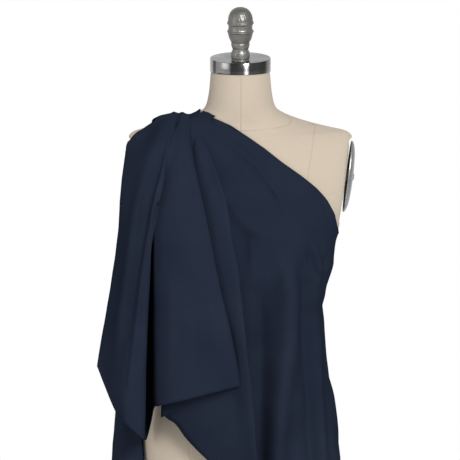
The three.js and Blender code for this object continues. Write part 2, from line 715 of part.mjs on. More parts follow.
// hanging folds from the shoulder, front to side: [x, y, z] down each line
const FOLDS = [
  [[-78, -66, 1402], [-77, -112, 1348], [-56, -158, 1234], [-38, -162, 1129], [-21, -160, 1050], [-2, -156, 961]],
  [[-98, -66, 1400], [-100, -110, 1348], [-94, -162, 1234], [-87, -170, 1129], [-79, -170, 1050], [-70, -168, 947]],
  [[-112, -64, 1400], [-128, -104, 1348], [-140, -150, 1234], [-143, -160, 1129], [-143, -162, 1050], [-140, -162, 928]],
  [[-122, -60, 1400], [-140, -96, 1348], [-156, -138, 1234], [-163, -148, 1129], [-166, -152, 1050], [-164, -152, 885]],
  [[-140, -56, 1400], [-170, -84, 1348], [-184, -115, 1234], [-196, -126, 1129], [-203, -130, 1050], [-206, -132, 910]],
  [[-176, -44, 1400], [-208, -30, 1340], [-219, -42, 1234], [-229, -50, 1129], [-240, -55, 1050], [-249, -58, 994]],
  [[-188, 10, 1400], [-210, 26, 1340], [-222, 30, 1234], [-230, 32, 1129], [-236, 34, 1050], [-238, 36, 930]],
  [[-176, 66, 1398], [-196, 84, 1340], [-206, 92, 1234], [-212, 98, 1129], [-216, 102, 1050], [-220, 104, 820]],
  [[-150, 92, 1394], [-160, 108, 1340], [-162, 116, 1234], [-164, 118, 1129], [-166, 122, 1050], [-170, 124, 760]],
];
function lineAt(line, t) {
  const curve = new THREE.CatmullRomCurve3(line.map((p) => new THREE.Vector3(...p)), false, "centripetal");
  const p = curve.getPoint(t);
  return [p.x, p.y, p.z];
}
function cascade(rows) {
  const mid = [];
  for (let j = 0; j <= rows; j++) mid.push(FOLDS.map((line) => lineAt(line, 1 - j / rows)));
  // columns run from the front round the right side to the back, so the right hand rule needs them reversed
  for (const row of mid) row.reverse();
  const outer = [];
  const inner = [];
  for (let j = 0; j < mid.length; j++) {
    const a = [];
    const b = [];
    for (let i = 0; i < mid[j].length; i++) {
      const l = mid[j][Math.max(0, i - 1)];
      const r = mid[j][Math.min(mid[j].length - 1, i + 1)];
      const dn = mid[Math.max(0, j - 1)][i];
      const up = mid[Math.min(mid.length - 1, j + 1)][i];
      const du = new THREE.Vector3(r[0] - l[0], r[1] - l[1], r[2] - l[2]);
      const dv = new THREE.Vector3(up[0] - dn[0], up[1] - dn[1], up[2] - dn[2]);
      const n = du.cross(dv).normalize();
      const p = mid[j][i];
      a.push([p[0] + n.x * 2, p[1] + n.y * 2, p[2] + n.z * 2]);
      b.push([p[0] - n.x * 1.5, p[1] - n.y * 1.5, p[2] - n.z * 1.5]);
    }
    outer.push(a);
    inner.push(b);
  }
  return solid(sheet(outer, inner));
}
// the form a little larger, and the space round the right arm plate, are kept clear of the cloth
const clear = solid(loft(ROWS.map((v) => Array.from({ length: 32 }, (_, i) => offsetPoint(i * 11.25 * RAD, v, 0.5)))));
const armClear = solid(
  loft([174, 203].map((x) => Array.from({ length: 20 }, (_, i) => {
    const t = (i / 20) * Math.PI * 2;
    return [-x, ARM_Y + (ARM_PLATE[0] + 2) * Math.cos(t), ARM_Z + (ARM_PLATE[1] + 2) * Math.sin(t)];
  }))),
);
const cloth = join([wrap(222, 506, 24, 12), saddle(118, 252, 11, [12.9, 13.5, 14.2, 15, 15.8, 16.5, 17.2]), cascade(7)])
  .subtract(clear)
  .subtract(armClear);
const pieces = cloth.decompose().sort((a, b) => b.volume() - a.volume());
add(form, "fabric_length", pieces[0], CLOTH);

export default group;
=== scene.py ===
import json
import math

import bmesh
import bpy
import numpy as np
from mathutils import Matrix, Vector, noise
from mathutils.bvhtree import BVHTree


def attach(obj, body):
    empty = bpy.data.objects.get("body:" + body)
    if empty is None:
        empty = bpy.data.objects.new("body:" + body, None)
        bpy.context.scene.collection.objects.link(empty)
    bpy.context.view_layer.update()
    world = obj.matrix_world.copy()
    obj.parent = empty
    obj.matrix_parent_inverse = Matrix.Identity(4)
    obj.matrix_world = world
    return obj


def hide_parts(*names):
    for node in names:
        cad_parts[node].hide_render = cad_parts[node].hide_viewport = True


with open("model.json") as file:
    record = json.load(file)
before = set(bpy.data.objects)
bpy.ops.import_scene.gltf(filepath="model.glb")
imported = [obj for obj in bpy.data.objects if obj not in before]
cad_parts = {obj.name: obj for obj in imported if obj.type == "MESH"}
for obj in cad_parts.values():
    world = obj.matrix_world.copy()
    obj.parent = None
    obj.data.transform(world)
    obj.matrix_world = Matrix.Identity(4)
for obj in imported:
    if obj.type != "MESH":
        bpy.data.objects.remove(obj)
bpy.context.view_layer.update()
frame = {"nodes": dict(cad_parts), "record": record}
nodes = frame["nodes"]
scene = bpy.context.scene

# ---------------------------------------------------------------- camera
CAM_D = 8.0
CAM_ELEV = math.radians(10.3)
AIM = Vector((-0.0180, 0.0, 1.2325))
FIELD = 0.805  # metres across the picture at the form's axis
cam_data = bpy.data.cameras.new("camera")
cam_data.sensor_width = 36
cam_data.lens = 36 * CAM_D / FIELD
cam_data.clip_start = 0.5
cam_data.clip_end = 60
cam = bpy.data.objects.new("camera", cam_data)
scene.collection.objects.link(cam)
cam.location = AIM + Vector((0, -math.cos(CAM_ELEV), math.sin(CAM_ELEV))) * CAM_D
cam.rotation_euler = (math.pi / 2 - CAM_ELEV, 0, 0)
scene.camera = cam
SIZE = 460.0
RIGHT = Vector((1, 0, 0))
FORWARD = Vector((0, math.cos(CAM_ELEV), -math.sin(CAM_ELEV)))
UP = Vector((0, math.sin(CAM_ELEV), math.cos(CAM_ELEV)))


def unproject(u, v, y):
    """The point at picture position u, v (of 460) on the plane at depth y."""
    k = FIELD / CAM_D / SIZE
    d = FORWARD + RIGHT * ((u - SIZE / 2) * k) - UP * ((v - SIZE / 2) * k)
    t = (y - cam.location.y) / d.y
    return cam.location + d * t


def project(p):
    q = Vector(p) - cam.location
    k = FIELD / CAM_D / SIZE
    f = q.dot(FORWARD)
    return (SIZE / 2 + q.dot(RIGHT) / f / k, SIZE / 2 - q.dot(UP) / f / k)


# ---------------------------------------------------------------- the form's surface, as in the CAD
NECK_TILT = math.radians(-1)
NECK_RIM_Z = 1513.0
ARM_X, ARM_Y, ARM_Z, ARM_LEAN = 182.0, 3.0, 1328.0, 0.12
BUST_Z = 1228.0
STATIONS = np.array(
    [
        [770, 160, 78, 100, 0, 2.2, 0],
        [800, 168, 87, 111, 0, 2.2, 0],
        [860, 171, 95, 119, 0, 2.2, 0],
        [930, 164, 98, 110, 0, 2.2, 0],
        [1000, 143, 93, 88, 0, 2.2, 0],
        [1060, 126, 84, 72, 0, 2.15, 0],
        [1110, 133, 90, 76, 0, 2.2, 0],
        [1160, 150, 99, 86, 0, 2.3, 0],
        [1210, 163, 106, 94, 0, 2.4, 0],
        [1250, 176, 104, 98, 0, 2.5, 0],
        [1290, 190, 98, 99, 2, 2.6, 0],
        [1330, 199, 89, 97, 4, 2.6, 0],
        [1370, 199.5, 79, 91, 6, 2.4, 0],
        [1393, 197, 71, 81, 8, 2.1, 0],
        [1405.5, 187, 65.5, 73, 9, 1.85, 0],
        [1412.5, 160, 62, 69, 9, 1.75, 0],
        [1419.5, 131, 60, 66, 9, 1.72, 0],
        [1428, 102, 58, 63, 8, 1.8, 0],
        [1437, 79, 56.5, 59, 6, 1.95, 0],
        [1450, 61.5, 55, 55, 3, 2, 0],
        [1476, 54.8, 53, 53, 0, 2, -0.005],
        [NECK_RIM_Z, 51.4, 51.4, 51.4, -1, 2, math.tan(NECK_TILT)],
    ]
)
LAST = len(STATIONS) - 1
D = STATIONS[1:] - STATIONS[:-1]
SLOPES = np.zeros_like(STATIONS)
SLOPES[0], SLOPES[-1] = D[0], D[-1]
a_, b_ = D[:-1], D[1:]
with np.errstate(divide="ignore", invalid="ignore"):
    SLOPES[1:-1] = np.where(a_ * b_ > 0, 2 * a_ * b_ / (a_ + b_), 0)


def station(v):
    """The station's seven numbers at parameter v, an array of any shape."""
    v = np.asarray(v, float)
    i = np.clip(np.floor(v).astype(int), 0, LAST - 1)
    t = (v - i)[..., None]
    t2, t3 = t * t, t * t * t
    return (
        (2 * t3 - 3 * t2 + 1) * STATIONS[i]
        + (t3 - 2 * t2 + t) * SLOPES[i]
        + (3 * t2 - 2 * t3) * STATIONS[i + 1]
        + (t3 - t2) * SLOPES[i + 1]
    )


def station_at(z):
    z = np.asarray(z, float)
    lo, hi = np.zeros_like(z), np.full_like(z, LAST)
    for _ in range(36):
        m = (lo + hi) / 2
        low = station(m)[..., 0] < z
        lo, hi = np.where(low, m, lo), np.where(low, hi, m)
    return (lo + hi) / 2


def bell(d, s):
    return np.exp(-(d * d) / (2 * s * s))


def arm_plane(z):
    mid = ARM_X + ARM_LEAN * (z - ARM_Z)
    low = ARM_X + ARM_LEAN * (1250 - ARM_Z) + (1250 - z) * 0.7
    high = ARM_X + ARM_LEAN * (1393 - ARM_Z) + (z - 1393) * 2
    return np.where(z < 1250, low, np.where(z > 1393, high, mid))


def soft_min(a, b, k):
    m = np.minimum(a, b)
    return m - k * np.log(np.exp(-np.minimum(a - m, 60 * k) / k) + np.exp(-np.minimum(b - m, 60 * k) / k))


def surface(theta, v):
    """Points on the linen in millimetres, for arrays. Angle 0 is the form's left, pi / 2 its back."""
    theta, v = np.broadcast_arrays(np.asarray(theta, float), np.asarray(v, float))
    q = station(v)
    z, a, f, b, yc, n, lean = (q[..., k] for k in range(7))
    c, s = np.cos(theta), np.sin(theta)
    x = a * np.sign(c) * np.abs(c) ** (2 / n)
    y = np.where(s > 0, b, f) * np.sign(s) * np.abs(s) ** (2 / n)
    front = np.where(s < 0, np.minimum(1.0, np.abs(s) ** 0.8), 0.0)
    back = np.where(s > 0, np.abs(s), 0.0)
    bust = np.where(z > BUST_Z, bell(z - BUST_Z, 50), bell(z - BUST_Z, 42))
    y = y - 38 * front * bust * (bell(x - 90, 42) + bell(x + 90, 42))
    y = y + back * 9 * bell(z - 1290, 55) * (bell(x - 85, 42) + bell(x + 85, 42))
    y = y + back * 9 * bell(z - 868, 55) * (bell(x - 70, 45) + bell(x + 70, 45))
    y = y - back * 7 * bell(x, 22) * bell(z - 1120, 150)
    side = np.minimum(np.abs(x), soft_min(np.abs(x), arm_plane(z), 2.2))
    x = np.where((v > 8) & (v < 14.3), np.sign(x) * side, x)
    return np.stack([x, y + yc, z + lean * y], -1)


def normal_at(theta, v):
    e = 1e-3
    vv = np.clip(v, e, LAST - e)
    du = surface(theta + e, vv) - surface(theta - e, vv)
    dv = surface(theta, vv + e) - surface(theta, vv - e)
    n = np.cross(du, dv)
    return n / np.maximum(1e-9, np.linalg.norm(n, axis=-1, keepdims=True))


def smooth(a, b, x):
    t = np.clip((np.asarray(x, float) - a) / (b - a), 0, 1)
    return t * t * (3 - 2 * t)


# ---------------------------------------------------------------- mesh helpers
def new_object(name, verts, faces, smooth_shade=True):
    me = bpy.data.meshes.new(name)
    me.from_pydata([tuple(v) for v in verts], [], faces)
    me.validate()
    me.update()
    if smooth_shade:
        me.polygons.foreach_set("use_smooth", [True] * len(me.polygons))
    o = bpy.data.objects.new(name, me)
    scene.collection.objects.link(o)
    return o


def grid_faces(rows, cols, start=0, ring=False):
    out = []
    for j in range(rows - 1):
        for i in range(cols if ring else cols - 1):
            k = (i + 1) % cols
            out.append((start + j * cols + i, start + j * cols + k, start + (j + 1) * cols + k, start + (j + 1) * cols + i))
    return out


def apply_modifiers(o):
    dg = bpy.context.evaluated_depsgraph_get()
    me = bpy.data.meshes.new_from_object(o.evaluated_get(dg))
    old = o.data
    mats = list(old.materials)
    o.modifiers.clear()
    o.data = me
    if not len(me.materials):
        for m in mats:
            me.materials.append(m)
    bpy.data.meshes.remove(old)
    return o


def solidify(o, thick, offset=-1.0):
    m = o.modifiers.new("thick", "SOLIDIFY")
    m.thickness = thick
    m.offset = offset
    m.use_even_offset = False
    apply_modifiers(o)


def subdivide(o, levels=1):
    m = o.modifiers.new("sub", "SUBSURF")
    m.levels = m.render_levels = levels
    apply_modifiers(o)


# ---------------------------------------------------------------- materials
def material(name):
    m = bpy.data.materials.new(name)
    m.use_nodes = True
    nt = m.node_tree
    nt.nodes.clear()
    out = nt.nodes.new("ShaderNodeOutputMaterial")
    b = nt.nodes.new("ShaderNodeBsdfPrincipled")
    nt.links.new(b.outputs[0], out.inputs[0])
    return m, nt, b


def add(nt, kind, **values):
    n = nt.nodes.new(kind)
    for k, v in values.items():
        if hasattr(n, k):
            setattr(n, k, v)
        else:
            n.inputs[k.replace("_", " ").title()].default_value = v
    return n


def srgb(r, g, b):
    f = lambda c: c / 255 / 12.92 if c <= 10 else ((c / 255 + 0.055) / 1.055) ** 2.4
    return (f(r), f(g), f(b), 1)


def coords(nt):
    return add(nt, "ShaderNodeTexCoord").outputs["Object"]


def mixed(nt, a, b, fac):
    m = add(nt, "ShaderNodeMix", data_type="RGBA")
    m.inputs[6].default_value = a if not hasattr(a, "node") else (0, 0, 0, 1)
    m.inputs[7].default_value = b if not hasattr(b, "node") else (0, 0, 0, 1)
    if hasattr(a, "node"):
        nt.links.new(a, m.inputs[6])
    if hasattr(b, "node"):
        nt.links.new(b, m.inputs[7])
    nt.links.new(fac, m.inputs[0])
    return m.outputs[2]


def ramp(nt, src, lo, hi, v0=0.0, v1=1.0):
    n = add(nt, "ShaderNodeMapRange", clamp=True)
    n.inputs[1].default_value, n.inputs[2].default_value = lo, hi
    n.inputs[3].default_value, n.inputs[4].default_value = v0, v1
    nt.links.new(src, n.inputs[0])
    return n.outputs[0]


def maths(nt, op, a, b=None):
    n = add(nt, "ShaderNodeMath", operation=op)
    for k, q in enumerate([a, b]):
        if q is None:
            continue
        if hasattr(q, "node"):
            nt.links.new(q, n.inputs[k])
        else:
            n.inputs[k].default_value = q
    return n.outputs[0]


def tex(nt, kind, scale, co, **kw):
    n = add(nt, kind, **kw)
    if kind == "ShaderNodeTexWave":
        n.inputs["Scale"].default_value = scale
    else:
        n.inputs["Scale"].default_value = scale
    nt.links.new(co, n.inputs["Vector"])
    return n


def weave(nt, co, pitch, wobble=0.15):
    """Warp and weft as two wave bands crossing in height and width, seen from any side of an upright body."""
    sep = add(nt, "ShaderNodeSeparateXYZ")
    nt.links.new(co, sep.inputs[0])
    k = 2 * math.pi / pitch
    around = maths(nt, "ADD", sep.outputs[0], sep.outputs[1])
    nz = tex(nt, "ShaderNodeTexNoise", 220, co)
    w = maths(nt, "MULTIPLY", nz.outputs[0], wobble * 6)
    u = maths(nt, "SINE", maths(nt, "ADD", maths(nt, "MULTIPLY", around, k), w))
    v = maths(nt, "SINE", maths(nt, "ADD", maths(nt, "MULTIPLY", sep.outputs[2], k), w))
    return maths(nt, "ADD", maths(nt, "MULTIPLY", u, v), maths(nt, "MULTIPLY", nz.outputs[0], 0.7))


def bump(nt, bsdf, height, strength, distance):
    n = add(nt, "ShaderNodeBump")
    n.inputs["Strength"].default_value = strength
    n.inputs["Distance"].default_value = distance
    nt.links.new(height, n.inputs["Height"])
    nt.links.new(n.outputs[0], bsdf.inputs["Normal"])
    return n


# navy crepe
def make_cloth():
    m, nt, b = material("navy_cloth")
    co = coords(nt)
    big = tex(nt, "ShaderNodeTexNoise", 7, co).outputs[0]
    fine = tex(nt, "ShaderNodeTexNoise", 900, co).outputs[0]
    base = mixed(nt, srgb(24, 29.5, 40.5), srgb(29, 35, 46), ramp(nt, big, 0.35, 0.65))
    wv = weave(nt, co, 0.0011)
    col = mixed(nt, base, srgb(11, 14, 24), ramp(nt, wv, 0.1, 1.3, 0.45, 0.0))
    nt.links.new(col, b.inputs["Base Color"])
    b.inputs["Roughness"].default_value = 0.6
    b.inputs["Specular IOR Level"].default_value = 0.0
    b.inputs["Sheen Weight"].default_value = 0.0
    b.inputs["Sheen Roughness"].default_value = 0.4
    b.inputs["Sheen Tint"].default_value = srgb(120, 132, 160)
    h = maths(nt, "ADD", maths(nt, "MULTIPLY", wv, 0.6), maths(nt, "MULTIPLY", fine, 0.5))
    bump(nt, b, h, 0.25, 0.0002)
    return m


def make_linen():
    m, nt, b = material("linen")
    co = coords(nt)
    big = tex(nt, "ShaderNodeTexNoise", 5, co).outputs[0]
    mid = tex(nt, "ShaderNodeTexNoise", 60, co, detail=6.0).outputs[0]
    slub_map = add(nt, "ShaderNodeMapping")
    slub_map.inputs["Scale"].default_value = (60, 60, 1400)
    nt.links.new(co, slub_map.inputs[0])
    slub = tex(nt, "ShaderNodeTexNoise", 1, slub_map.outputs[0]).outputs[0]
    base = mixed(nt, srgb(142, 132, 119), srgb(148, 138, 126), ramp(nt, big, 0.35, 0.65))
    wv = weave(nt, co, 0.0013)
    col = mixed(nt, base, srgb(130, 120, 105), ramp(nt, wv, 0.0, 1.4, 0.4, 0.0))
    col = mixed(nt, col, srgb(126, 116, 101), ramp(nt, slub, 0.55, 0.75, 0.0, 0.3))
    col = mixed(nt, col, srgb(136, 127, 113), ramp(nt, mid, 0.5, 0.75, 0.0, 0.35))
    nt.links.new(col, b.inputs["Base Color"])
    b.inputs["Roughness"].default_value = 0.85
    b.inputs["Specular IOR Level"].default_value = 0.15
    b.inputs["Sheen Weight"].default_value = 0.05
    b.inputs["Sheen Roughness"].default_value = 0.6
    h = maths(nt, "ADD", maths(nt, "MULTIPLY", wv, 0.7), maths(nt, "MULTIPLY", slub, 0.6))
    bump(nt, b, h, 0.35, 0.00025)
    return m


def make_seam():
    m, nt, b = material("linen_seam")
    co = coords(nt)
    fine = tex(nt, "ShaderNodeTexNoise", 500, co).outputs[0]
    nt.links.new(mixed(nt, srgb(126, 116, 101), srgb(140, 130, 115), fine), b.inputs["Base Color"])
    b.inputs["Roughness"].default_value = 0.9
    bump(nt, b, fine, 0.3, 0.0002)
    return m


def make_steel(name="polished_steel", rough=0.2, tone=(196, 196, 198), brush=True):
    m, nt, b = material(name)
    co = coords(nt)
    b.inputs["Metallic"].default_value = 1
    mp = add(nt, "ShaderNodeMapping")
    mp.inputs["Scale"].default_value = (9, 9, 900) if brush else (40, 40, 40)
    nt.links.new(co, mp.inputs[0])
    n = tex(nt, "ShaderNodeTexNoise", 1, mp.outputs[0], detail=4.0).outputs[0]
    smudge = tex(nt, "ShaderNodeTexNoise", 24, co).outputs[0]
    t = tone
    nt.links.new(mixed(nt, srgb(*t), srgb(*[c - 22 for c in t]), ramp(nt, n, 0.35, 0.7)), b.inputs["Base Color"])
    nt.links.new(ramp(nt, smudge, 0.3, 0.75, rough * 0.8, rough * 1.35), b.inputs["Roughness"])
    bump(nt, b, n, 0.06, 0.0002)
    return m


def make_cast(name, tone, rough=0.42):
    """Hammered cast metal."""
    m, nt, b = material(name)
    co = coords(nt)
    b.inputs["Metallic"].default_value = 0.85
    v = tex(nt, "ShaderNodeTexVoronoi", 210, co)
    n = tex(nt, "ShaderNodeTexNoise", 420, co, detail=5.0).outputs[0]
    big = tex(nt, "ShaderNodeTexNoise", 35, co).outputs[0]
    c = [srgb(*tone), srgb(*[q - 26 for q in tone]), srgb(*[min(255, q + 22) for q in tone])]
    col = mixed(nt, c[0], c[1], ramp(nt, big, 0.35, 0.7))
    col = mixed(nt, col, c[2], ramp(nt, n, 0.52, 0.75, 0, 0.5))
    nt.links.new(col, b.inputs["Base Color"])
    nt.links.new(ramp(nt, n, 0.3, 0.7, rough - 0.06, rough + 0.12), b.inputs["Roughness"])
    h = maths(nt, "ADD", maths(nt, "MULTIPLY", v.outputs[0], 0.8), maths(nt, "MULTIPLY", n, 0.5))
    bump(nt, b, h, 0.4, 0.0006)
    return m


def make_plain(name, tone, rough, metal=0.0, grain=300, depth=0.0002, strength=0.2, spread=14):
    m, nt, b = material(name)
    co = coords(nt)
    b.inputs["Metallic"].default_value = metal
    n = tex(nt, "ShaderNodeTexNoise", grain, co, detail=5.0).outputs[0]
    big = tex(nt, "ShaderNodeTexNoise", 18, co).outputs[0]
    col = mixed(nt, srgb(*tone), srgb(*[max(0, q - spread) for q in tone]), ramp(nt, big, 0.35, 0.7))
    nt.links.new(col, b.inputs["Base Color"])
    nt.links.new(ramp(nt, big, 0.3, 0.7, rough * 0.88, min(1, rough * 1.15)), b.inputs["Roughness"])
    bump(nt, b, n, strength, depth)
    return m


def make_wood(name, light, dark):
    m, nt, b = material(name)
    co = coords(nt)
    mp = add(nt, "ShaderNodeMapping")
    mp.inputs["Scale"].default_value = (4, 40, 40)
    nt.links.new(co, mp.inputs[0])
    n = tex(nt, "ShaderNodeTexNoise", 2.2, mp.outputs[0], detail=6.0, distortion=0.6).outputs[0]
    nt.links.new(mixed(nt, srgb(*light), srgb(*dark), ramp(nt, n, 0.35, 0.65)), b.inputs["Base Color"])
    b.inputs["Roughness"].default_value = 0.55
    bump(nt, b, n, 0.2, 0.0004)
    return m


CLOTH = make_cloth()
LINEN = make_linen()
SEAM = make_seam()
STEEL = make_steel(rough=0.34, tone=(134, 135, 135))
CAST = make_cast("cast_grey", (100, 99, 96), 0.38)
IRON = make_plain("iron_tube", (84, 84, 85), 0.42, 0.8)
CHROME = make_steel("chrome_tube", 0.14, (150, 151, 153), False)
ZINC = make_steel("zinc_steel", 0.32, (128, 129, 131), False)
PLASTIC = make_plain("black_plastic", (24, 24, 25), 0.45, 0, 700, 0.0002, 0.25, 8)
RUBBER = make_plain("tyre_rubber", (34, 34, 35), 0.75, 0, 500, 0.0003, 0.3, 10)
NYLON = make_plain("nylon", (160, 157, 150), 0.4, 0, 300, 0.0001, 0.1, 10)
PAPER = make_plain("papier_mache", (104, 89, 66), 0.9, 0, 90, 0.0008, 0.5, 24)
WOOD = make_wood("wood", (120, 90, 60), (88, 62, 38))
BOARD = make_wood("dark_board", (34, 29, 24), (22, 18, 15))


def make_band_with_painted_reflections():
    """Metal rim band with painted reflections: bright and dark streaks are painted into its base colour by angle round
    the axis, in place of reflected surroundings.
    """
    m, nt, b = material("band_painted_reflections")
    co = coords(nt)
    sep = add(nt, "ShaderNodeSeparateXYZ")
    nt.links.new(co, sep.inputs[0])
    y = maths(nt, "MULTIPLY", maths(nt, "ADD", sep.outputs[1], 0.001), -1.0)
    ang = maths(nt, "ARCTAN2", sep.outputs[0], y)  # 0 at the front, positive to the form's left
    turn = ramp(nt, ang, -math.pi, math.pi)
    cr = add(nt, "ShaderNodeValToRGB")
    cr.color_ramp.interpolation = "LINEAR"
    nt.links.new(turn, cr.inputs[0])
    # painted reflections: a grey tone for each angle round the band, with dark streaks and a painted highlight streak
    # near 11 degrees
    reflection_stops = [
        (-180, 120), (-158, 168), (-140, 176), (-128, 92), (-118, 70), (-100, 132), (-84, 150), (-66, 138), (-62, 62), (-56, 60), (-52, 128),
        (-40, 132), (-22, 108), (-18, 44), (-6, 48), (6, 66), (9, 176), (11.5, 250), (14, 176), (17, 52), (34, 58), (54, 40), (58, 66),
        (61, 104), (84, 116), (104, 150), (120, 84), (136, 72), (150, 140), (166, 160), (180, 120),
    ]
    el = cr.color_ramp.elements
    for k, (deg, tone) in enumerate(reflection_stops):
        e = el[k] if k < 2 else el.new((deg + 180) / 360)
        e.position = (deg + 180) / 360
        e.color = srgb(tone, tone, tone)
    mp = add(nt, "ShaderNodeMapping")
    mp.inputs["Scale"].default_value = (9, 9, 700)
    nt.links.new(co, mp.inputs[0])
    n = tex(nt, "ShaderNodeTexNoise", 1, mp.outputs[0], detail=4.0).outputs[0]
    nt.links.new(mixed(nt, cr.outputs[0], srgb(96, 96, 97), ramp(nt, n, 0.4, 0.8, 0.0, 0.16)), b.inputs["Base Color"])
    b.inputs["Metallic"].default_value = 1
    nt.links.new(ramp(nt, n, 0.3, 0.75, 0.2, 0.28), b.inputs["Roughness"])
    bump(nt, b, n, 0.05, 0.0002)
    return m


BAND_PAINTED_REFLECTIONS = make_band_with_painted_reflections()

BY_SLOT = {
    "linen": LINEN, "papier_mache": PAPER, "wood": WOOD, "dark_board": BOARD, "polished_steel": STEEL, "cast_grey": CAST,
    "iron_tube": IRON, "chrome_tube": CHROME, "black_plastic": PLASTIC, "tyre_rubber": RUBBER, "zinc_steel": ZINC,
    "nylon": NYLON, "navy_cloth": CLOTH,
}
for part in frame["record"]["subparts"]:
    o = nodes[part["node"]]
    o.data.materials.clear()
    o.data.materials.append(BY_SLOT[part["material_slot"]])


def finish_piece(o, mat, body, slot, *replaced):
    o.data.materials.clear()
    o.data.materials.append(mat)
    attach(o, body)
    if replaced:
        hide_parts(*replaced)
    return o


# ---------------------------------------------------------------- linen cover
MM = 0.001
# neck seam: lower at the front, a little higher at the back
SEAM_Z = lambda th: 1437 - 21 * np.maximum(0.0, -np.sin(th)) ** 1.2 - 4 * np.maximum(0.0, np.sin(th))


def seam_v(th):
    """Station parameter where the neck seam crosses this angle."""
    return station_at(SEAM_Z(th))


def princess(v, back):
    """Angle of the shaped seam from the side of the form, per quarter, at station parameter v."""
    v = np.atleast_1d(np.asarray(v, float))
    z = station(v)[..., 0]
    zs = [770, 860, 930, 1060, 1160, 1228, 1290, 1330, 1380, 1405, 1419.5]
    xs = [78, 90, 88, 66, 78, 92, 105, 115, 124, 127, 130]
    if back:
        xs = [74, 84, 80, 58, 68, 78, 90, 100, 112, 121, 130]
    want = np.interp(z, zs, xs)
    q = np.linspace(0.012, HALF - 0.05, 90)
    x = surface((1 if back else -1) * q[None, :] + np.zeros((len(v), 1)), v[:, None])[..., 0]
    return np.array([np.interp(-want[k], -x[k], q) for k in range(len(v))])


def linen_patch(name, side0, side1, v0, v1, cols, rows, lift=0.0):
    """side0 and side1 give the panel's edges as angles at station parameters; v0 and v1 its ends at angles."""
    u = 0.5 - 0.5 * np.cos(np.linspace(0, math.pi, cols))  # closer together at the seams
    u = 0.5 * u + 0.5 * np.linspace(0, 1, cols)
    top = side0(np.array([17.2]))[0] * (1 - u) + side1(np.array([17.2]))[0] * u
    a, b = np.broadcast_to(v0(top), top.shape), np.broadcast_to(v1(top), top.shape)
    f = np.linspace(0, 1, rows)[:, None]
    v = a + (b - a) * f
    t = side0(v) * (1 - u) + side1(v) * u
    p, n = surface(t, v), normal_at(t, v)
    width = np.linalg.norm(np.diff(p, axis=1), axis=-1).sum(axis=1)[:, None]
    length = np.linalg.norm(np.diff(p, axis=0), axis=-1).sum(axis=0)[None, :]
    s = np.minimum(u, 1 - u)[None, :] * width
    e = np.minimum(f, 1 - f) * length
    dip = 0.8 * np.exp(-((np.minimum(s, e) / 1.7) ** 2))
    q = (p + n * (lift - dip)[..., None]) * MM
    return new_object(name, q.reshape(-1, 3), grid_faces(rows, cols))


BODY_V0 = 0.0
HALF = math.pi / 2
PI = math.pi
fixed = lambda t: (lambda v: t + 0 * v)
V_TAB = np.linspace(0, LAST, 420)
B_TAB, F_TAB = princess(V_TAB, True), princess(V_TAB, False)
fb = lambda v: np.interp(v, V_TAB, B_TAB)
ff = lambda v: np.interp(v, V_TAB, F_TAB)
panels = [
    ("canvas_side_back_left", fixed(0), fb),
    ("canvas_center_back_left", fb, fixed(HALF)),
    ("canvas_center_back_right", fixed(HALF), lambda v: PI - fb(v)),
    ("canvas_side_back_right", lambda v: PI - fb(v), fixed(PI)),
    ("canvas_side_front_right", fixed(PI), lambda v: PI + ff(v)),
    ("canvas_center_front_right", lambda v: PI + ff(v), fixed(3 * HALF)),
    ("canvas_center_front_left", fixed(3 * HALF), lambda v: 2 * PI - ff(v)),
    ("canvas_side_front_left", lambda v: 2 * PI - ff(v), fixed(2 * PI)),
]


def cut_armhole(o, sx):
    """Removes what lies inside the armhole's outline."""
    bm = bmesh.new()
    bm.from_mesh(o.data)
    gone = [
        f
        for f in bm.faces
        if f.calc_center_median().x * sx > 0.12
        and ((f.calc_center_median().y - ARM_Y * MM) / 0.0385) ** 2 + ((f.calc_center_median().z - ARM_Z * MM) / 0.0545) ** 2 < 1
    ]
    bmesh.ops.delete(bm, geom=gone, context="FACES")
    bm.to_mesh(o.data)
    bm.free()


for name, a, b in panels:
    o = linen_patch(name + "_cover", a, b, lambda th: BODY_V0 + 0 * th, lambda th: seam_v(th) - 0.01, 60, 190)
    if "side" in name:
        cut_armhole(o, 1 if "left" in name else -1)
    finish_piece(o, LINEN, "form", "linen", name)
for name, a, b in (("canvas_neck_left", -HALF, HALF), ("canvas_neck_right", HALF, 3 * HALF)):
    o = linen_patch(name + "_cover", fixed(a), fixed(b), lambda th: seam_v(th) + 0.01, lambda th: LAST + 0 * th, 100, 60)
    finish_piece(o, LINEN, "form", "linen", name)


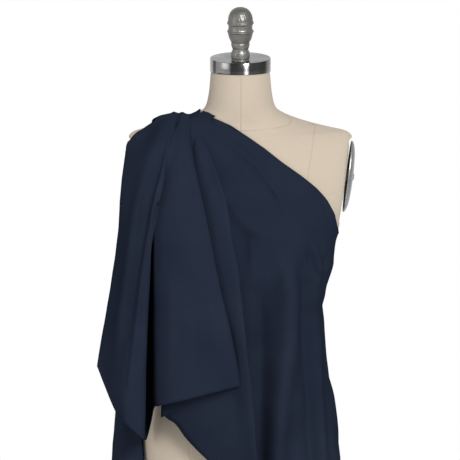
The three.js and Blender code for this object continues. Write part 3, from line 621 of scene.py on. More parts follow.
# the shells, just under the linen, closed at the rims
def shell_piece(name, th0, th1, node):
    th = np.linspace(th0 + 0.002, th1 - 0.002, 90)
    v = np.linspace(0.0, LAST, 170)
    t, w = np.meshgrid(th, v)
    grids = []
    for d in (-2.4, -5.8):
        q = (surface(t, w) + normal_at(t, w) * d) * MM
        top = np.arange(len(v)) > len(v) - 4
        grids.append(q)
    n = len(th) * len(v)
    fc = grid_faces(len(v), len(th), 0) + [tuple(reversed(f)) for f in grid_faces(len(v), len(th), n)]
    rim = [i for i in range(len(th))]
    top_row = [(len(v) - 1) * len(th) + i for i in range(len(th))]
    for loop in (rim, top_row):
        for i in range(len(th) - 1):
            fc.append((loop[i], loop[i + 1], n + loop[i + 1], n + loop[i]))
    for c in (0, len(th) - 1):
        for r in range(len(v) - 1):
            i, k = r * len(th) + c, (r + 1) * len(th) + c
            fc.append((i, k, n + k, n + i))
    o = new_object(name, np.vstack([g.reshape(-1, 3) for g in grids]), fc)
    bm = bmesh.new()
    bm.from_mesh(o.data)
    gone = [
        f
        for f in bm.faces
        if abs(f.calc_center_median().x) > 0.12
        and ((f.calc_center_median().y - ARM_Y * MM) / 0.0385) ** 2 + ((f.calc_center_median().z - ARM_Z * MM) / 0.0545) ** 2 < 1
    ]
    bmesh.ops.delete(bm, geom=gone, context="FACES")
    bmesh.ops.recalc_face_normals(bm, faces=bm.faces)
    bm.to_mesh(o.data)
    bm.free()
    finish_piece(o, PAPER, "form", "papier_mache", node)


shell_piece("shell_back_lining", 0.0, PI, "shell_back")
shell_piece("shell_front_lining", PI, 2 * PI, "shell_front")


# ---------------------------------------------------------------- seams and edges
def tube_along(points, radius, sides=8, closed=False, flat=1.0):
    """A thin round body along points in metres."""
    p = np.asarray(points, float)
    n = len(p)
    tang = np.roll(p, -1, 0) - np.roll(p, 1, 0)
    if not closed:
        tang[0], tang[-1] = p[1] - p[0], p[-1] - p[-2]
    tang /= np.maximum(1e-12, np.linalg.norm(tang, axis=1, keepdims=True))
    ref = np.cross(tang, np.array([0, 0, 1.0]))
    bad = np.linalg.norm(ref, axis=1) < 0.2
    ref[bad] = np.cross(tang[bad], np.array([0, 1.0, 0]))
    ref /= np.linalg.norm(ref, axis=1, keepdims=True)
    for k in range(1, n):
        if ref[k] @ ref[k - 1] < 0:
            ref[k] = -ref[k]
    up = np.cross(ref, tang)
    a = np.linspace(0, 2 * math.pi, sides, endpoint=False)
    v = p[:, None, :] + radius * (np.cos(a)[None, :, None] * ref[:, None, :] + flat * np.sin(a)[None, :, None] * up[:, None, :])
    f = []
    for i in range(n if closed else n - 1):
        k = (i + 1) % n
        for j in range(sides):
            m = (j + 1) % sides
            f.append((i * sides + j, i * sides + m, k * sides + m, k * sides + j))
    if not closed:
        f.append(tuple(range(sides)))
        f.append(tuple((n - 1) * sides + j for j in reversed(range(sides))))
    return v.reshape(-1, 3), f


def gather_bodies(name, bodies, mat, slot):
    vs, fs, k = [], [], 0
    for v, f in bodies:
        vs.append(v)
        fs += [tuple(i + k for i in q) for q in f]
        k += len(v)
    o = new_object(name, np.vstack(vs), fs)
    return finish_piece(o, mat, "form", slot)


def on_form(th, v, lift):
    return (surface(th, v) + normal_at(th, v) * lift) * MM


lines = []
v_all = np.linspace(0.02, 17.0, 240)
vs_ = np.linspace(0.02, 15.6, 220)
for edge in (lambda v: PI + ff(v), lambda v: 2 * PI - ff(v), lambda v: fb(v), lambda v: PI - fb(v)):
    lines.append(tube_along(on_form(edge(vs_), vs_, -0.78), 0.00036, 6))
for t in (0.0, HALF, PI, 3 * HALF):
    top = float(seam_v(np.array([t]))[0]) - 0.02
    vv = np.linspace(0.02, top, 260)
    lines.append(tube_along(on_form(t + 0 * vv, vv, -0.78), 0.00036, 6))
th = np.linspace(0, 2 * PI, 220, endpoint=False)
lines.append(tube_along(on_form(th, seam_v(th), -0.74), 0.0004, 6, True))
for t in (HALF, 3 * HALF):
    vv = np.linspace(float(seam_v(np.array([t]))[0]) + 0.02, LAST - 0.02, 60)
    lines.append(tube_along(on_form(t + 0 * vv, vv, -0.78), 0.00036, 6))
gather_bodies("linen_seam_threads", lines, SEAM, "linen")

# linen turned in round the armholes and at the neck and hem
edges = []
for sx in (-1, 1):
    t = np.linspace(0, 2 * PI, 120, endpoint=False)
    y = ARM_Y + 39.2 * np.cos(t)
    z = ARM_Z + 55.4 * np.sin(t)
    x = sx * (ARM_X + ARM_LEAN * (z - ARM_Z) - 0.8)
    edges.append(tube_along(np.stack([x, y, z], 1) * MM, 0.0016, 10, True))
t = np.linspace(0, 2 * PI, 200, endpoint=False)
edges.append(tube_along(on_form(t, LAST - 0.02 + 0 * t, -1.2), 0.0011, 8, True))
edges.append(tube_along(on_form(t, 0.02 + 0 * t, -1.2), 0.0016, 8, True))
gather_bodies("linen_turned_edges", edges, LINEN, "linen")


# ---------------------------------------------------------------- neck cap, knob and arm plates
def turned_piece(profile, segments, place=None, warp=None, smooth_shade=True, name="turned"):
    """A closed body from [radius, height] pairs in mm, starting and ending on the axis or closing on itself."""
    pr = np.asarray(profile, float)
    ring = bool(np.allclose(pr[0], pr[-1]) and pr[0][0] > 0)
    if ring:
        pr = pr[:-1]
    a = np.linspace(0, 2 * PI, segments, endpoint=False)
    verts, rows_ = [], []
    for r, z in pr:
        if r < 1e-6:
            rows_.append([len(verts)])
            verts.append((0, 0, z))
        else:
            rows_.append(list(range(len(verts), len(verts) + segments)))
            verts += [(r * math.cos(q), r * math.sin(q), z) for q in a]
    f = []
    pairs = list(zip(rows_, rows_[1:])) + ([(rows_[-1], rows_[0])] if ring else [])
    for lo, hi in pairs:
        for i in range(segments):
            k = (i + 1) % segments
            if len(lo) == 1 and len(hi) == 1:
                continue
            if len(lo) == 1:
                f.append((lo[0], hi[k], hi[i]))
            elif len(hi) == 1:
                f.append((lo[i], lo[k], hi[0]))
            else:
                f.append((lo[i], lo[k], hi[k], hi[i]))
    v = np.asarray(verts, float)
    if warp:
        v = warp(v)
    if place is not None:
        v = np.array([place @ Vector(q) for q in v])
    o = new_object(name, v * MM, f, smooth_shade)
    bm = bmesh.new()
    bm.from_mesh(o.data)
    bmesh.ops.recalc_face_normals(bm, faces=bm.faces)
    bm.to_mesh(o.data)
    bm.free()
    return o


def rounded(profile, step=1.0, sharp=0.8):
    """The profile with its corners rounded by short arcs."""
    p = [np.asarray(q, float) for q in profile]
    out = [p[0]]
    for a, b, c in zip(p, p[1:], p[2:]):
        la, lc = np.linalg.norm(a - b), np.linalg.norm(c - b)
        r = min(sharp, la * 0.45, lc * 0.45)
        s0, s1 = b + (a - b) / la * r, b + (c - b) / lc * r
        for t in np.linspace(0, 1, 5):
            out.append((1 - t) ** 2 * s0 + 2 * t * (1 - t) * b + t * t * s1)
    out.append(p[-1])
    return np.array(out)


CAP_H, CAP_R = 24.0, 52.8
CAP_WEDGE = math.radians(4)
KNOB_Y = -27.0
NECK = Matrix.Translation((0, STATIONS[LAST][4], NECK_RIM_Z)) @ Matrix.Rotation(NECK_TILT, 4, "X")
SEAT = NECK @ Matrix.Translation((0, KNOB_Y, CAP_H + KNOB_Y * math.tan(CAP_WEDGE))) @ Matrix.Rotation(CAP_WEDGE, 4, "X")


def wedged(v):
    up = v[:, 2] > 0
    v[up, 2] *= 1 + v[up, 1] * math.tan(CAP_WEDGE) / CAP_H
    return v


cap_profile = [
    (0, 22.4), (40, 22.4), (50.4, 22.4), (51.1, 21.8), (51.1, 0.7), (51.5, 0.45), (52.4, 0.45), (52.8, 0.8), (52.8, 12), (52.8, 22.9), (52.65, 23.35), (52.3, 23.75),
    (51.6, 24.0), (50.4, 24.0), (50.0, 23.9), (49.4, 24.0), (30, 24.0), (0, 24.0),
]
cap = turned_piece(cap_profile, 160, NECK, wedged, name="neck_cap_shell")
finish_piece(cap, STEEL, "form", "polished_steel", "neck_cap")
# the cap's outer rim takes the band with painted reflections
cap.data.materials.append(BAND_PAINTED_REFLECTIONS)
inv = NECK.inverted()
for poly in cap.data.polygons:
    q = inv @ (poly.center * 1000)
    if math.hypot(q.x, q.y) > 51.9:
        poly.material_index = 1

KNOB = [
    (0, 0.4), (15.4, 0.4), (15.8, 0.9), (15.8, 2.6), (15.0, 3.4), (15.9, 4.4), (16.35, 6.5), (16.3, 11), (16.0, 14.6), (14.9, 17.4), (13.7, 19.2), (13.5, 20.6),
    (14.2, 22.4), (15.4, 25), (16.0, 28.2), (16.1, 30.4), (15.5, 32), (16.2, 33.4), (17.6, 36), (19.2, 39.6), (20.5, 43.4), (21.3, 47.2), (21.7, 49.6), (22.9, 50.6),
    (23.2, 51.8), (22.9, 53), (21.6, 54), (20.9, 56), (20.6, 59), (20.8, 62), (21.5, 64.2), (22.9, 65.3), (23.2, 66.6), (22.9, 67.9), (21.8, 69.2), (21.5, 71),
    (21.2, 75), (20.2, 79.4), (18.3, 84), (15.4, 88.2), (11.4, 91.4), (6.4, 93.5), (2.6, 94.05), (0, 94.1),
]
kp = rounded(KNOB, sharp=0.9)


def hammered(v):
    """Dents of a cast and hammered surface, and the fine turned marks on the dome."""
    out = v.copy()
    for k, q in enumerate(v):
        r = math.hypot(q[0], q[1])
        if r < 0.5:
            continue
        a = math.atan2(q[1], q[0])
        n = noise.noise(Vector((q[0], q[1], q[2])) * 0.22) * 0.22 + noise.noise(Vector((q[0], q[1], q[2])) * 0.6) * 0.12
        if q[2] > 70:
            n += 0.16 * math.sin(a * 26 + (q[2] - 70) * 0.42) * min(1.0, (q[2] - 70) / 6) * min(1.0, r / 8)
        out[k, 0] += q[0] / r * n
        out[k, 1] += q[1] / r * n
    return out


knob = turned_piece(kp, 180, SEAT, hammered, name="neck_knob_cast")
finish_piece(knob, CAST, "neck_knob", "cast_grey", "neck_knob")

PLATE = [
    (4.3, 0.905), (4.2, 0.93), (4.2, 0.985), (4.5, 0.997), (5.0, 1.0), (6.0, 1.0), (6.6, 0.997), (7.4, 0.985), (8.4, 0.962), (9.4, 0.93), (10.7, 0.872), (11.9, 0.79),
    (12.9, 0.69), (13.6, 0.58), (14.1, 0.46), (14.45, 0.34), (14.65, 0.22), (14.7, 0.12), (14.7, 0.0),
]
for side, sx in (("left", 1), ("right", -1)):
    place = Matrix.Translation((sx * ARM_X, ARM_Y, ARM_Z)) @ Matrix.Rotation(sx * math.atan(ARM_LEAN), 4, "Y")
    seg = 120
    a = np.linspace(0, 2 * PI, seg, endpoint=False)
    inner = [(11.5, 0.0), (11.5, 0.3), (11.2, 0.45), (9.9, 0.68), (8.0, 0.8), (6.2, 0.875)]
    verts, rows_ = [], []
    for x, k in inner + PLATE:
        if k == 0:
            rows_.append([len(verts)])
            verts.append((sx * x, 0, 0))
        else:
            rows_.append(list(range(len(verts), len(verts) + seg)))
            verts += [(sx * x, 44 * k * math.cos(q), 63 * k * math.sin(q)) for q in a]
    f = []
    for lo_, hi_ in zip(rows_, rows_[1:]):
        for i in range(seg):
            k = (i + 1) % seg
            if len(lo_) == 1:
                f.append((lo_[0], hi_[k], hi_[i]))
            elif len(hi_) == 1:
                f.append((lo_[i], lo_[k], hi_[0]))
            else:
                f.append((lo_[i], lo_[k], hi_[k], hi_[i]))
    v = np.array([place @ Vector(q) for q in verts])
    o = new_object("arm_plate_" + side + "_dome", v * MM, f)
    bm = bmesh.new()
    bm.from_mesh(o.data)
    bmesh.ops.recalc_face_normals(bm, faces=bm.faces)
    bm.to_mesh(o.data)
    bm.free()
    finish_piece(o, STEEL, "form", "polished_steel", "arm_plate_" + side)
    # low slotted screw head
    head = turned_piece(
        [(0, -19), (3.1, -19), (3.1, 14.2), (6.6, 14.4), (6.6, 14.9), (6.3, 15.6), (5.0, 16.3), (3.0, 16.7), (2.2, 16.7), (2.0, 15.2), (0, 15.2)],
        48, place @ Matrix.Rotation(sx * math.pi / 2, 4, "Y"), name="arm_plate_screw_" + side,
    )
    finish_piece(head, ZINC, "form", "zinc_steel", "arm_plate_bolt_" + side)


# ---------------------------------------------------------------- the form as a solid to keep clear of
def grid_tree(th, v):
    t, w = np.meshgrid(th, v)
    p = surface(t, w) * MM
    verts = [Vector(q) for q in p.reshape(-1, 3)]
    return BVHTree.FromPolygons(verts, grid_faces(len(v), len(th), 0))


BODY_TREE = grid_tree(np.linspace(0, 2 * math.pi, 241), np.linspace(0, LAST, 261))


def keep_clear(p, gap):
    """Moves points (metres, array n x 3) that lie in the form, or nearer than gap, out along its surface."""
    out = p.copy()
    for k, q in enumerate(p):
        if not (-0.24 < q[0] < 0.24 and -0.2 < q[1] < 0.17 and 0.76 < q[2] < 1.5):
            continue
        hit, n, _, dist = BODY_TREE.find_nearest(Vector(q), 0.12)
        if hit is None:
            continue
        side = (Vector(q) - hit).dot(n)
        if side < gap:
            out[k] = np.array(hit + n * gap)
    return out


# ---------------------------------------------------------------- draped cloth
def spline(points, t):
    """A centripetal-like smooth curve through points at even parameters, evaluated at t in 0..1. Works on stacked arrays (k, ..., 3)."""
    p = np.asarray(points, float)
    k = len(p)
    s = np.clip(np.asarray(t, float), 0, 1) * (k - 1)
    i = np.clip(np.floor(s).astype(int), 0, k - 2)
    f = (s - i).reshape((-1,) + (1,) * (p.ndim - 1))
    p0 = np.where((i == 0).reshape(f.shape), 2 * p[i] - p[i + 1], p[np.maximum(i - 1, 0)])
    p3 = np.where((i == k - 2).reshape(f.shape), 2 * p[i + 1] - p[i], p[np.minimum(i + 2, k - 1)])
    p1, p2 = p[i], p[i + 1]
    m1, m2 = (p2 - p0) / 2, (p3 - p1) / 2
    # limited slopes keep tight folds from overshooting
    lim = 1.6 * np.linalg.norm(p2 - p1, axis=-1, keepdims=True)
    for m in (m1, m2):
        n = np.linalg.norm(m, axis=-1, keepdims=True)
        m *= np.minimum(1, lim / np.maximum(n, 1e-9))
    f2, f3 = f * f, f * f * f
    return (2 * f3 - 3 * f2 + 1) * p1 + (f3 - 2 * f2 + f) * m1 + (3 * f2 - 2 * f3) * p2 + (f3 - f2) * m2


def even(points, n):
    """n points evenly spaced by length along the smooth curve through points."""
    fine = spline(points, np.linspace(0, 1, 400))
    d = np.r_[0, np.cumsum(np.linalg.norm(np.diff(fine, axis=0), axis=1))]
    want = np.linspace(0, d[-1], n)
    return np.stack([np.interp(want, d, fine[:, c]) for c in range(3)], 1)


def rib(*pts):
    """A fold line from picture positions and depths in mm."""
    return np.array([unproject(u, v, y * MM) for u, v, y in pts])


def patch(ribs, rows, per):
    """A grid over the ribs: [row, column, 3], metres. per is the number of columns between ribs."""
    lines = np.stack([even(r, rows) for r in ribs])  # rib, row, 3
    cols = (len(ribs) - 1) * per + 1
    g = spline(lines, np.linspace(0, 1, cols))  # col, row, 3
    return np.transpose(g, (1, 0, 2))


# the line where the cloth turns over the shoulder, seen from the front
CREST = np.array(
    [(146, 125), (150, 122.3), (156, 118.3), (162, 115.4), (165, 114.3), (169, 113.5), (174, 113), (178, 113), (184, 113.6), (188, 114.4), (191, 115.3), (194, 113.6),
     (196, 112.3), (200, 111.5), (204, 111.3), (210, 114.5)], float
)


def crest(u):
    return float(np.interp(u, CREST[:, 0], CREST[:, 1]))


def front_rib(*pts, under=0.0):
    """A fold line that starts on the crest."""
    u = pts[0][0]
    c = crest(u) + under
    return rib((u, c, 8 - under), (u + 0.1, c + 1.5 + 0.6 * under, -7), *pts[1:])


# the cascade in front: outer flap, deep pleat, middle flap and its turned-under layer
CASCADE = [
    front_rib((155, 119, 12), (141, 130, -6), (127.5, 143, -18), (125.4, 157, -34), (121.5, 187, -60), (119, 225, -72), (115.5, 255, -80), (109.5, 295, -88), (103.5, 330, -92), (97.5, 366, -95)),
    front_rib((162, 117, 8), (148, 135, -28), (137, 160, -64), (129, 200, -94), (124, 240, -112), (118, 290, -122), (113, 330, -126), (108, 368, -127), (109, 396, -126)),
    front_rib((169, 115, 2), (158, 135, -52), (147, 165, -92), (139, 205, -122), (132, 245, -141), (126, 290, -152), (121, 335, -157), (117, 380, -156), (118, 415, -153)),
    front_rib((174, 115, -2), (171, 130, -45), (166, 146, -80), (157, 195, -134), (150, 235, -157), (143, 275, -170), (138, 315, -176), (133, 355, -178), (128, 395, -176), (127, 424, -174)),
    front_rib((176, 117, -2), (171, 137, -58), (165, 161, -95), (157, 201, -138), (152.5, 229, -154), (150.3, 265, -163), (147.3, 325, -168), (145, 385, -167), (143.5, 439, -163)),
    front_rib((177, 119, 2), (168.5, 150, -74), (158.5, 190, -112), (151.6, 228, -136), (148, 265, -118), (144, 325, -102), (143, 385, -98), (143, 438, -94)),
    front_rib((178, 120, 4), (166.5, 150, -70), (156.5, 190, -106), (150, 226, -126), (149.5, 260, -84), (149, 320, -62), (149, 385, -58), (147, 438, -56), under=2.5),
    front_rib((179, 119, 2), (169.5, 150, -78), (160, 190, -115), (153.5, 226, -138), (153, 260, -142), (153, 320, -137), (153.5, 380, -133), (154, 408, -129), under=2.5),
    front_rib((181, 118, 0), (175, 150, -84), (166.5, 190, -122), (160, 226, -146), (159, 260, -153), (159.5, 320, -153), (160, 405, -148)),
    front_rib((184, 117, -2), (183, 150, -88), (180, 190, -130), (180, 225, -156), (181, 260, -165), (182, 320, -167), (184, 399.5, -161)),
    front_rib((187, 116, -2), (189, 150, -82), (191, 190, -128), (195, 225, -156), (199, 260, -168), (205, 320, -172), (214, 392, -168)),
    front_rib((189, 117, -1), (190, 133, -45), (195, 171, -102), (202.5, 205, -138), (208.5, 233, -154), (218.5, 285, -168), (226.5, 321, -170), (234, 357, -169), (239, 386, -166)),
    front_rib((189, 119, 3), (190, 136, -41), (194, 173, -96), (200.5, 207, -131), (206, 235, -147), (216, 287, -159), (224, 323, -160), (232, 359, -157), (236.5, 390, -153), under=2.5),
    front_rib((186, 120, 5), (185, 150, -72), (186, 200, -116), (190, 250, -132), (194, 300, -134), (196, 350, -132), (197, 404, -128), under=2.5),
    front_rib((183, 121, 6), (179, 150, -66), (173, 200, -104), (167, 250, -122), (164, 300, -124), (162, 350, -122), (161, 417, -118), under=2.5),
]
# the fold beside it and its left free edge
SIDE_FOLD = [
    front_rib((190, 120, 3), (192, 150, -66), (188, 200, -108), (180, 250, -122), (172, 300, -122), (167, 350, -118), (164, 400, -114), (165, 415.5, -113), (175.5, 423.5, -114), (185, 436.5, -115), (196, 448.5, -116), (209, 461, -117), (226, 478, -119), (256, 500, -123), under=2.5),
    front_rib((193, 118, 0), (197, 150, -74), (205, 190, -117), (212, 230, -144), (219, 280, -157), (225, 340, -156), (230, 400, -152), (236, 450, -148), (243, 490, -146), (254, 515, -143)),
    front_rib((195, 117, -2), (203, 150, -76), (214, 185, -119), (223.5, 220, -148), (230, 250, -162), (236, 285, -170), (241.5, 325, -172), (246, 365, -172), (250, 405, -170), (253.5, 445, -168), (257, 490, -166), (260, 524, -164)),
    front_rib((197, 117, -4), (202.5, 137, -54), (214, 165, -98), (223, 191, -126), (228, 213, -144), (232.5, 245, -159), (238, 269, -163), (241, 295, -163), (246.5, 345, -161), (251, 385, -160), (254.5, 425, -158), (257, 460, -156), (261, 500, -153), (264, 530, -151)),
    front_rib((197, 119, 0), (200, 139, -44), (210, 168, -86), (218, 194, -112), (222, 216, -130), (226, 247, -145), (231, 271, -148), (233, 297, -147), (239, 347, -145), (243, 387, -143), (247, 427, -140), (250, 462, -137), (254, 502, -134), (257, 532, -131), under=2.5),
]


def mm(*pts):
    return np.array(pts, float) * MM


# the back end of the cloth, hanging behind the same shoulder
def back_rib(u, v, y, *pts):
    top = np.array(unproject(u, crest(u), 8 * MM))
    turn = np.array([top[0] + (pts[0][0] * MM - top[0]) * 0.4, top[1] + 0.019, top[2] - 0.0055])
    return np.vstack([top[None], turn[None], mm(*pts)])


BACK_FALL = [
    back_rib(154, 119, 12, (-158, 44, 1404), (-176, 52, 1360), (-193, 54, 1290), (-196, 46, 1200), (-190, 22, 1080), (-183, -8, 980), (-178, -24, 900), (-172, -31, 829), (-170, -34, 756)),
    back_rib(155, 119, 12, (-159, 43, 1403), (-177, 55, 1360), (-199, 62, 1290), (-208, 58, 1200), (-212, 36, 1080), (-214, 6, 980), (-217, -14, 900), (-220.5, -22, 829), (-224, -26, 757)),
    back_rib(156, 119, 12, (-160, 42, 1402), (-178, 60, 1360), (-200, 76, 1290), (-210, 86, 1200), (-213, 90, 1080), (-214, 90, 960), (-217, 90, 900), (-223, 88, 829), (-229, 86, 762)),
    back_rib(163, 117, 12, (-146, 52, 1402), (-156, 78, 1360), (-174, 98, 1290), (-186, 114, 1200), (-192, 122, 1080), (-195, 124, 960), (-198, 124, 880), (-202, 124, 820), (-206, 124, 750)),
    back_rib(169, 115, 12, (-130, 60, 1404), (-138, 84, 1360), (-150, 103, 1290), (-160, 112, 1200), (-166, 112, 1080), (-170, 110, 960), (-173, 110, 880), (-176, 111, 820), (-180, 112, 738)),
    back_rib(174, 115, 10, (-116, 66, 1408), (-121, 92, 1360), (-127, 116, 1290), (-133, 134, 1200), (-138, 144, 1080), (-142, 146, 960), (-145, 147, 880), (-148, 148, 820), (-152, 150, 728)),
    back_rib(180, 118, 8, (-102, 66, 1412), (-104, 90, 1360), (-105, 110, 1290), (-108, 120, 1200), (-111, 123, 1080), (-113, 123, 960), (-114, 124, 880), (-116, 125, 820), (-118, 127, 716)),
    back_rib(187, 116, 8, (-86, 68, 1416), (-85, 94, 1360), (-82, 118, 1290), (-79, 134, 1200), (-77, 142, 1080), (-77, 144, 960), (-78, 145, 880), (-78, 146, 820), (-79, 148, 706)),
    back_rib(195, 115, 8, (-72, 66, 1420), (-64, 88, 1360), (-56, 106, 1290), (-47, 118, 1200), (-42, 124, 1080), (-40, 127, 960), (-40, 128, 880), (-40, 129, 820), (-40, 131, 700)),
]

# the wrap round the body
HANG = np.array(
    [
        [600, 188, 122, 136], [700, 185, 121, 134], [770, 181, 121, 132], [823, 177, 122, 131], [885, 170, 124, 128], [974, 159.5, 127, 120], [1045, 150.5, 132, 111],
        [1100, 143.5, 137, 107], [1140, 153, 141, 106], [1176, 163, 144, 106], [1219, 166.5, 146, 107], [1260, 178, 140, 110], [1310, 198, 120, 116],
    ]
)


def hang(k, z):
    return np.interp(z, HANG[:, 0], HANG[:, k])


ZS = np.arange(1140, 1456, 4.0)
XS = np.arange(-204, 205, 3.0)
HULL = np.zeros((len(ZS), len(XS)))
for row, z in enumerate(ZS):
    q = surface(np.linspace(math.pi, 2 * math.pi, 121), station_at(np.full(121, z)))
    pts = sorted((float(a[0]), float(a[1])) for a in q)
    low = []
    for a in pts:
        while len(low) > 1 and (low[-1][0] - low[-2][0]) * (a[1] - low[-2][1]) - (low[-1][1] - low[-2][1]) * (a[0] - low[-2][0]) <= 0:
            low.pop()
        low.append(a)
    HULL[row] = np.interp(XS, [a[0] for a in low], [a[1] for a in low])


def hull_y(x, z):
    i = np.clip((z - ZS[0]) / 4.0, 0, len(ZS) - 1.001)
    j = np.clip((x - XS[0]) / 3.0, 0, len(XS) - 1.001)
    a, b = i.astype(int), j.astype(int)
    f, g = i - a, j - b
    top = HULL[a, b] * (1 - g) + HULL[a, b + 1] * g
    low = HULL[a + 1, b] * (1 - g) + HULL[a + 1, b + 1] * g
    return top * (1 - f) + low * f


def wrap_point(theta, z, d=3.0):
    """Points of the wrap in mm at angle theta and height z, arrays."""
    c, s = np.cos(theta), np.sin(theta)
    n = 2.75
    h = np.stack(
        [
            hang(1, z) * np.sign(c) * np.abs(c) ** (2 / n),
            np.where(s > 0, hang(3, z), hang(2, z)) * np.sign(s) * np.abs(s) ** (2 / n),
            z,
        ],
        -1,
    )
    v = station_at(z)
    on = surface(theta, v) + normal_at(theta, v) * d
    taut = np.minimum(on[..., 1], hull_y(on[..., 0], z) - d)
    soft = 0.72 * taut + 0.28 * on[..., 1]
    on[..., 1] = np.where((s < 0) & (z > 1140), soft, on[..., 1])
    w = smooth(1165, 1262, z)[..., None]
    return h * (1 - w) + on * w


TOP_EDGE = np.array([(190, 118), (194, 112), (199, 110.5), (204, 110.2), (210, 112.3), (222, 118.8), (230, 124.3), (239, 131.5), (258, 145), (277, 159.5), (297, 174), (315, 188), (327, 201.5), (334, 214.5), (337.5, 229), (339, 240)], float)
BACK_TOP = np.array([(-200, 1405), (-110, 1418), (-80, 1432), (-56, 1440), (-40, 1420), (0, 1384), (50, 1344), (100, 1302), (140, 1264), (172, 1229)], float)
LEFT_START = np.array([(600, 0), (760, -4), (900, -30), (1060, -46), (1150, -54), (1250, -66), (1310, -76), (1360, -84), (1400, -88), (1440, -86)], float)


def theta_left(z):
    """Angle where the wrap starts under the side fold: from the wanted x there."""
    x = np.interp(z, LEFT_START[:, 0], LEFT_START[:, 1])
    th = np.linspace(math.radians(200), math.radians(300), 70)
    v = station_at(z)
    p = surface(th[None, :], v[:, None])[..., 0]
    hx = hang(1, z)[:, None] * np.sign(np.cos(th)) * np.abs(np.cos(th)) ** (2 / 2.75)
    w = smooth(1165, 1262, z)[:, None]
    xx = hx * (1 - w) + p * w
    return np.array([np.interp(x[k], xx[k], th) for k in range(len(z))])


ZT = np.linspace(560, 1452, 447)
TL = theta_left(ZT)
TH_END = math.radians(500)


def wrap_grid(rows, cols):
    a = np.linspace(0, 1, cols)
    a = a + 0.06 * np.sin(2 * math.pi * a)  # closer together in front
    zz, aa = np.meshgrid(ZT, a, indexing="ij")
    th = np.interp(zz, ZT, TL) * (1 - aa) + TH_END * aa
    p = wrap_point(th, zz) * MM
    k = FIELD / CAM_D / SIZE
    q = p - np.array(cam.location)
    f = q @ np.array(FORWARD)
    u = SIZE / 2 + (q @ np.array(RIGHT)) / f / k
    w = SIZE / 2 - (q @ np.array(UP)) / f / k
    edge = np.interp(u, TOP_EDGE[:, 0], TOP_EDGE[:, 1])
    back = th > 2 * math.pi
    zedge = np.interp(p[..., 0] / MM, BACK_TOP[:, 0], BACK_TOP[:, 1])
    ok = np.where(back, zz < zedge, w > edge)
    tops = np.zeros(cols)
    for i in range(cols):
        bad = np.nonzero(~ok[:, i] & (ZT > 1150))[0]
        tops[i] = ZT[bad[0]] if len(bad) else ZT[-1]
    # a smooth line through the tops
    for _ in range(1):
        ker = np.exp(-((np.arange(-9, 10) / 2.4) ** 2))
        ker /= ker.sum()
        pad = np.r_[[tops[0]] * 9, tops, [tops[-1]] * 9]
        wide = np.convolve(pad, ker, "valid")
        near = np.clip(1 - (np.arange(cols) - 50) / 20.0, 0.25, 1)
        tops = tops * (1 - near) + wide * near
    theta_mid = np.interp(a, [0, 1], [math.radians(265), TH_END])
    hem = 672 + 14 * np.sin(theta_mid * 3 + 0.6) + 8 * np.sin(theta_mid * 7)
    f = np.linspace(0, 1, rows)[:, None]
    z = hem + (tops - hem) * f
    th = np.interp(z, ZT, TL) * (1 - a) + TH_END * a
    return wrap_point(th, z) * MM


def pixel(p):
    k = FIELD / CAM_D / SIZE
    q = p - np.array(cam.location)
    f = q @ np.array(FORWARD)
    return np.stack([SIZE / 2 + (q @ np.array(RIGHT)) / f / k, SIZE / 2 - (q @ np.array(UP)) / f / k], -1)


def line_distance(q, line):
    """Distance of points q (n, 2) to a polyline, and the place along it from 0 to 1."""
    best = np.full(len(q), 1e9)
    along = np.zeros(len(q))
    line = np.asarray(line, float)
    seg = np.linalg.norm(np.diff(line, axis=0), axis=1)
    start = np.r_[0, np.cumsum(seg)]
    for k in range(len(line) - 1):
        a, b = line[k], line[k + 1]
        t = np.clip(((q - a) @ (b - a)) / max(1e-9, (b - a) @ (b - a)), 0, 1)
        d = np.linalg.norm(q - (a + t[:, None] * (b - a)), axis=1)
        near = d < best
        best = np.where(near, d, best)
        along = np.where(near, (start[k] + t * seg[k]) / start[-1], along)
    return best, along


def grid_normals(g, outward):
    du = np.gradient(g, axis=1)
    dv = np.gradient(g, axis=0)
    n = np.cross(du, dv)
    n /= np.maximum(1e-9, np.linalg.norm(n, axis=-1, keepdims=True))
    flip = np.sign(np.sum(n * outward(g), -1, keepdims=True).mean())
    return n * (flip or 1)


def stroke(g, lines, plane="picture"):
    """Raises or sinks a grid along drawn lines: (points, height mm, width px, end taper)."""
    n = grid_normals(g, lambda q: np.stack([q[..., 0] * 0, q[..., 1] * 0 - 1, q[..., 2] * 0], -1) if plane == "picture" else np.stack([q[..., 0] * 0, q[..., 1] * 0 + 1, q[..., 2] * 0], -1))
    if plane == "picture":
        n = np.where(n[..., 1:2] > 0.0, -n, n) if False else n
        q = pixel(g).reshape(-1, 2)
        facing = smooth(0.02, -0.03, g[..., 1]).reshape(-1)
    else:
        q = np.stack([g[..., 0], g[..., 2]], -1).reshape(-1, 2) / MM
        facing = smooth(-0.02, 0.03, g[..., 1]).reshape(-1)
    total = np.zeros(len(q))
    for pts, height, width, taper in lines:
        d, s = line_distance(q, pts)
        fade = smooth(0, taper, s) * smooth(0, taper, 1 - s) if taper else 1.0
        total += height * np.exp(-((d / width) ** 2)) * fade
    return g + n * (total * facing).reshape(g.shape[:2])[..., None] * MM


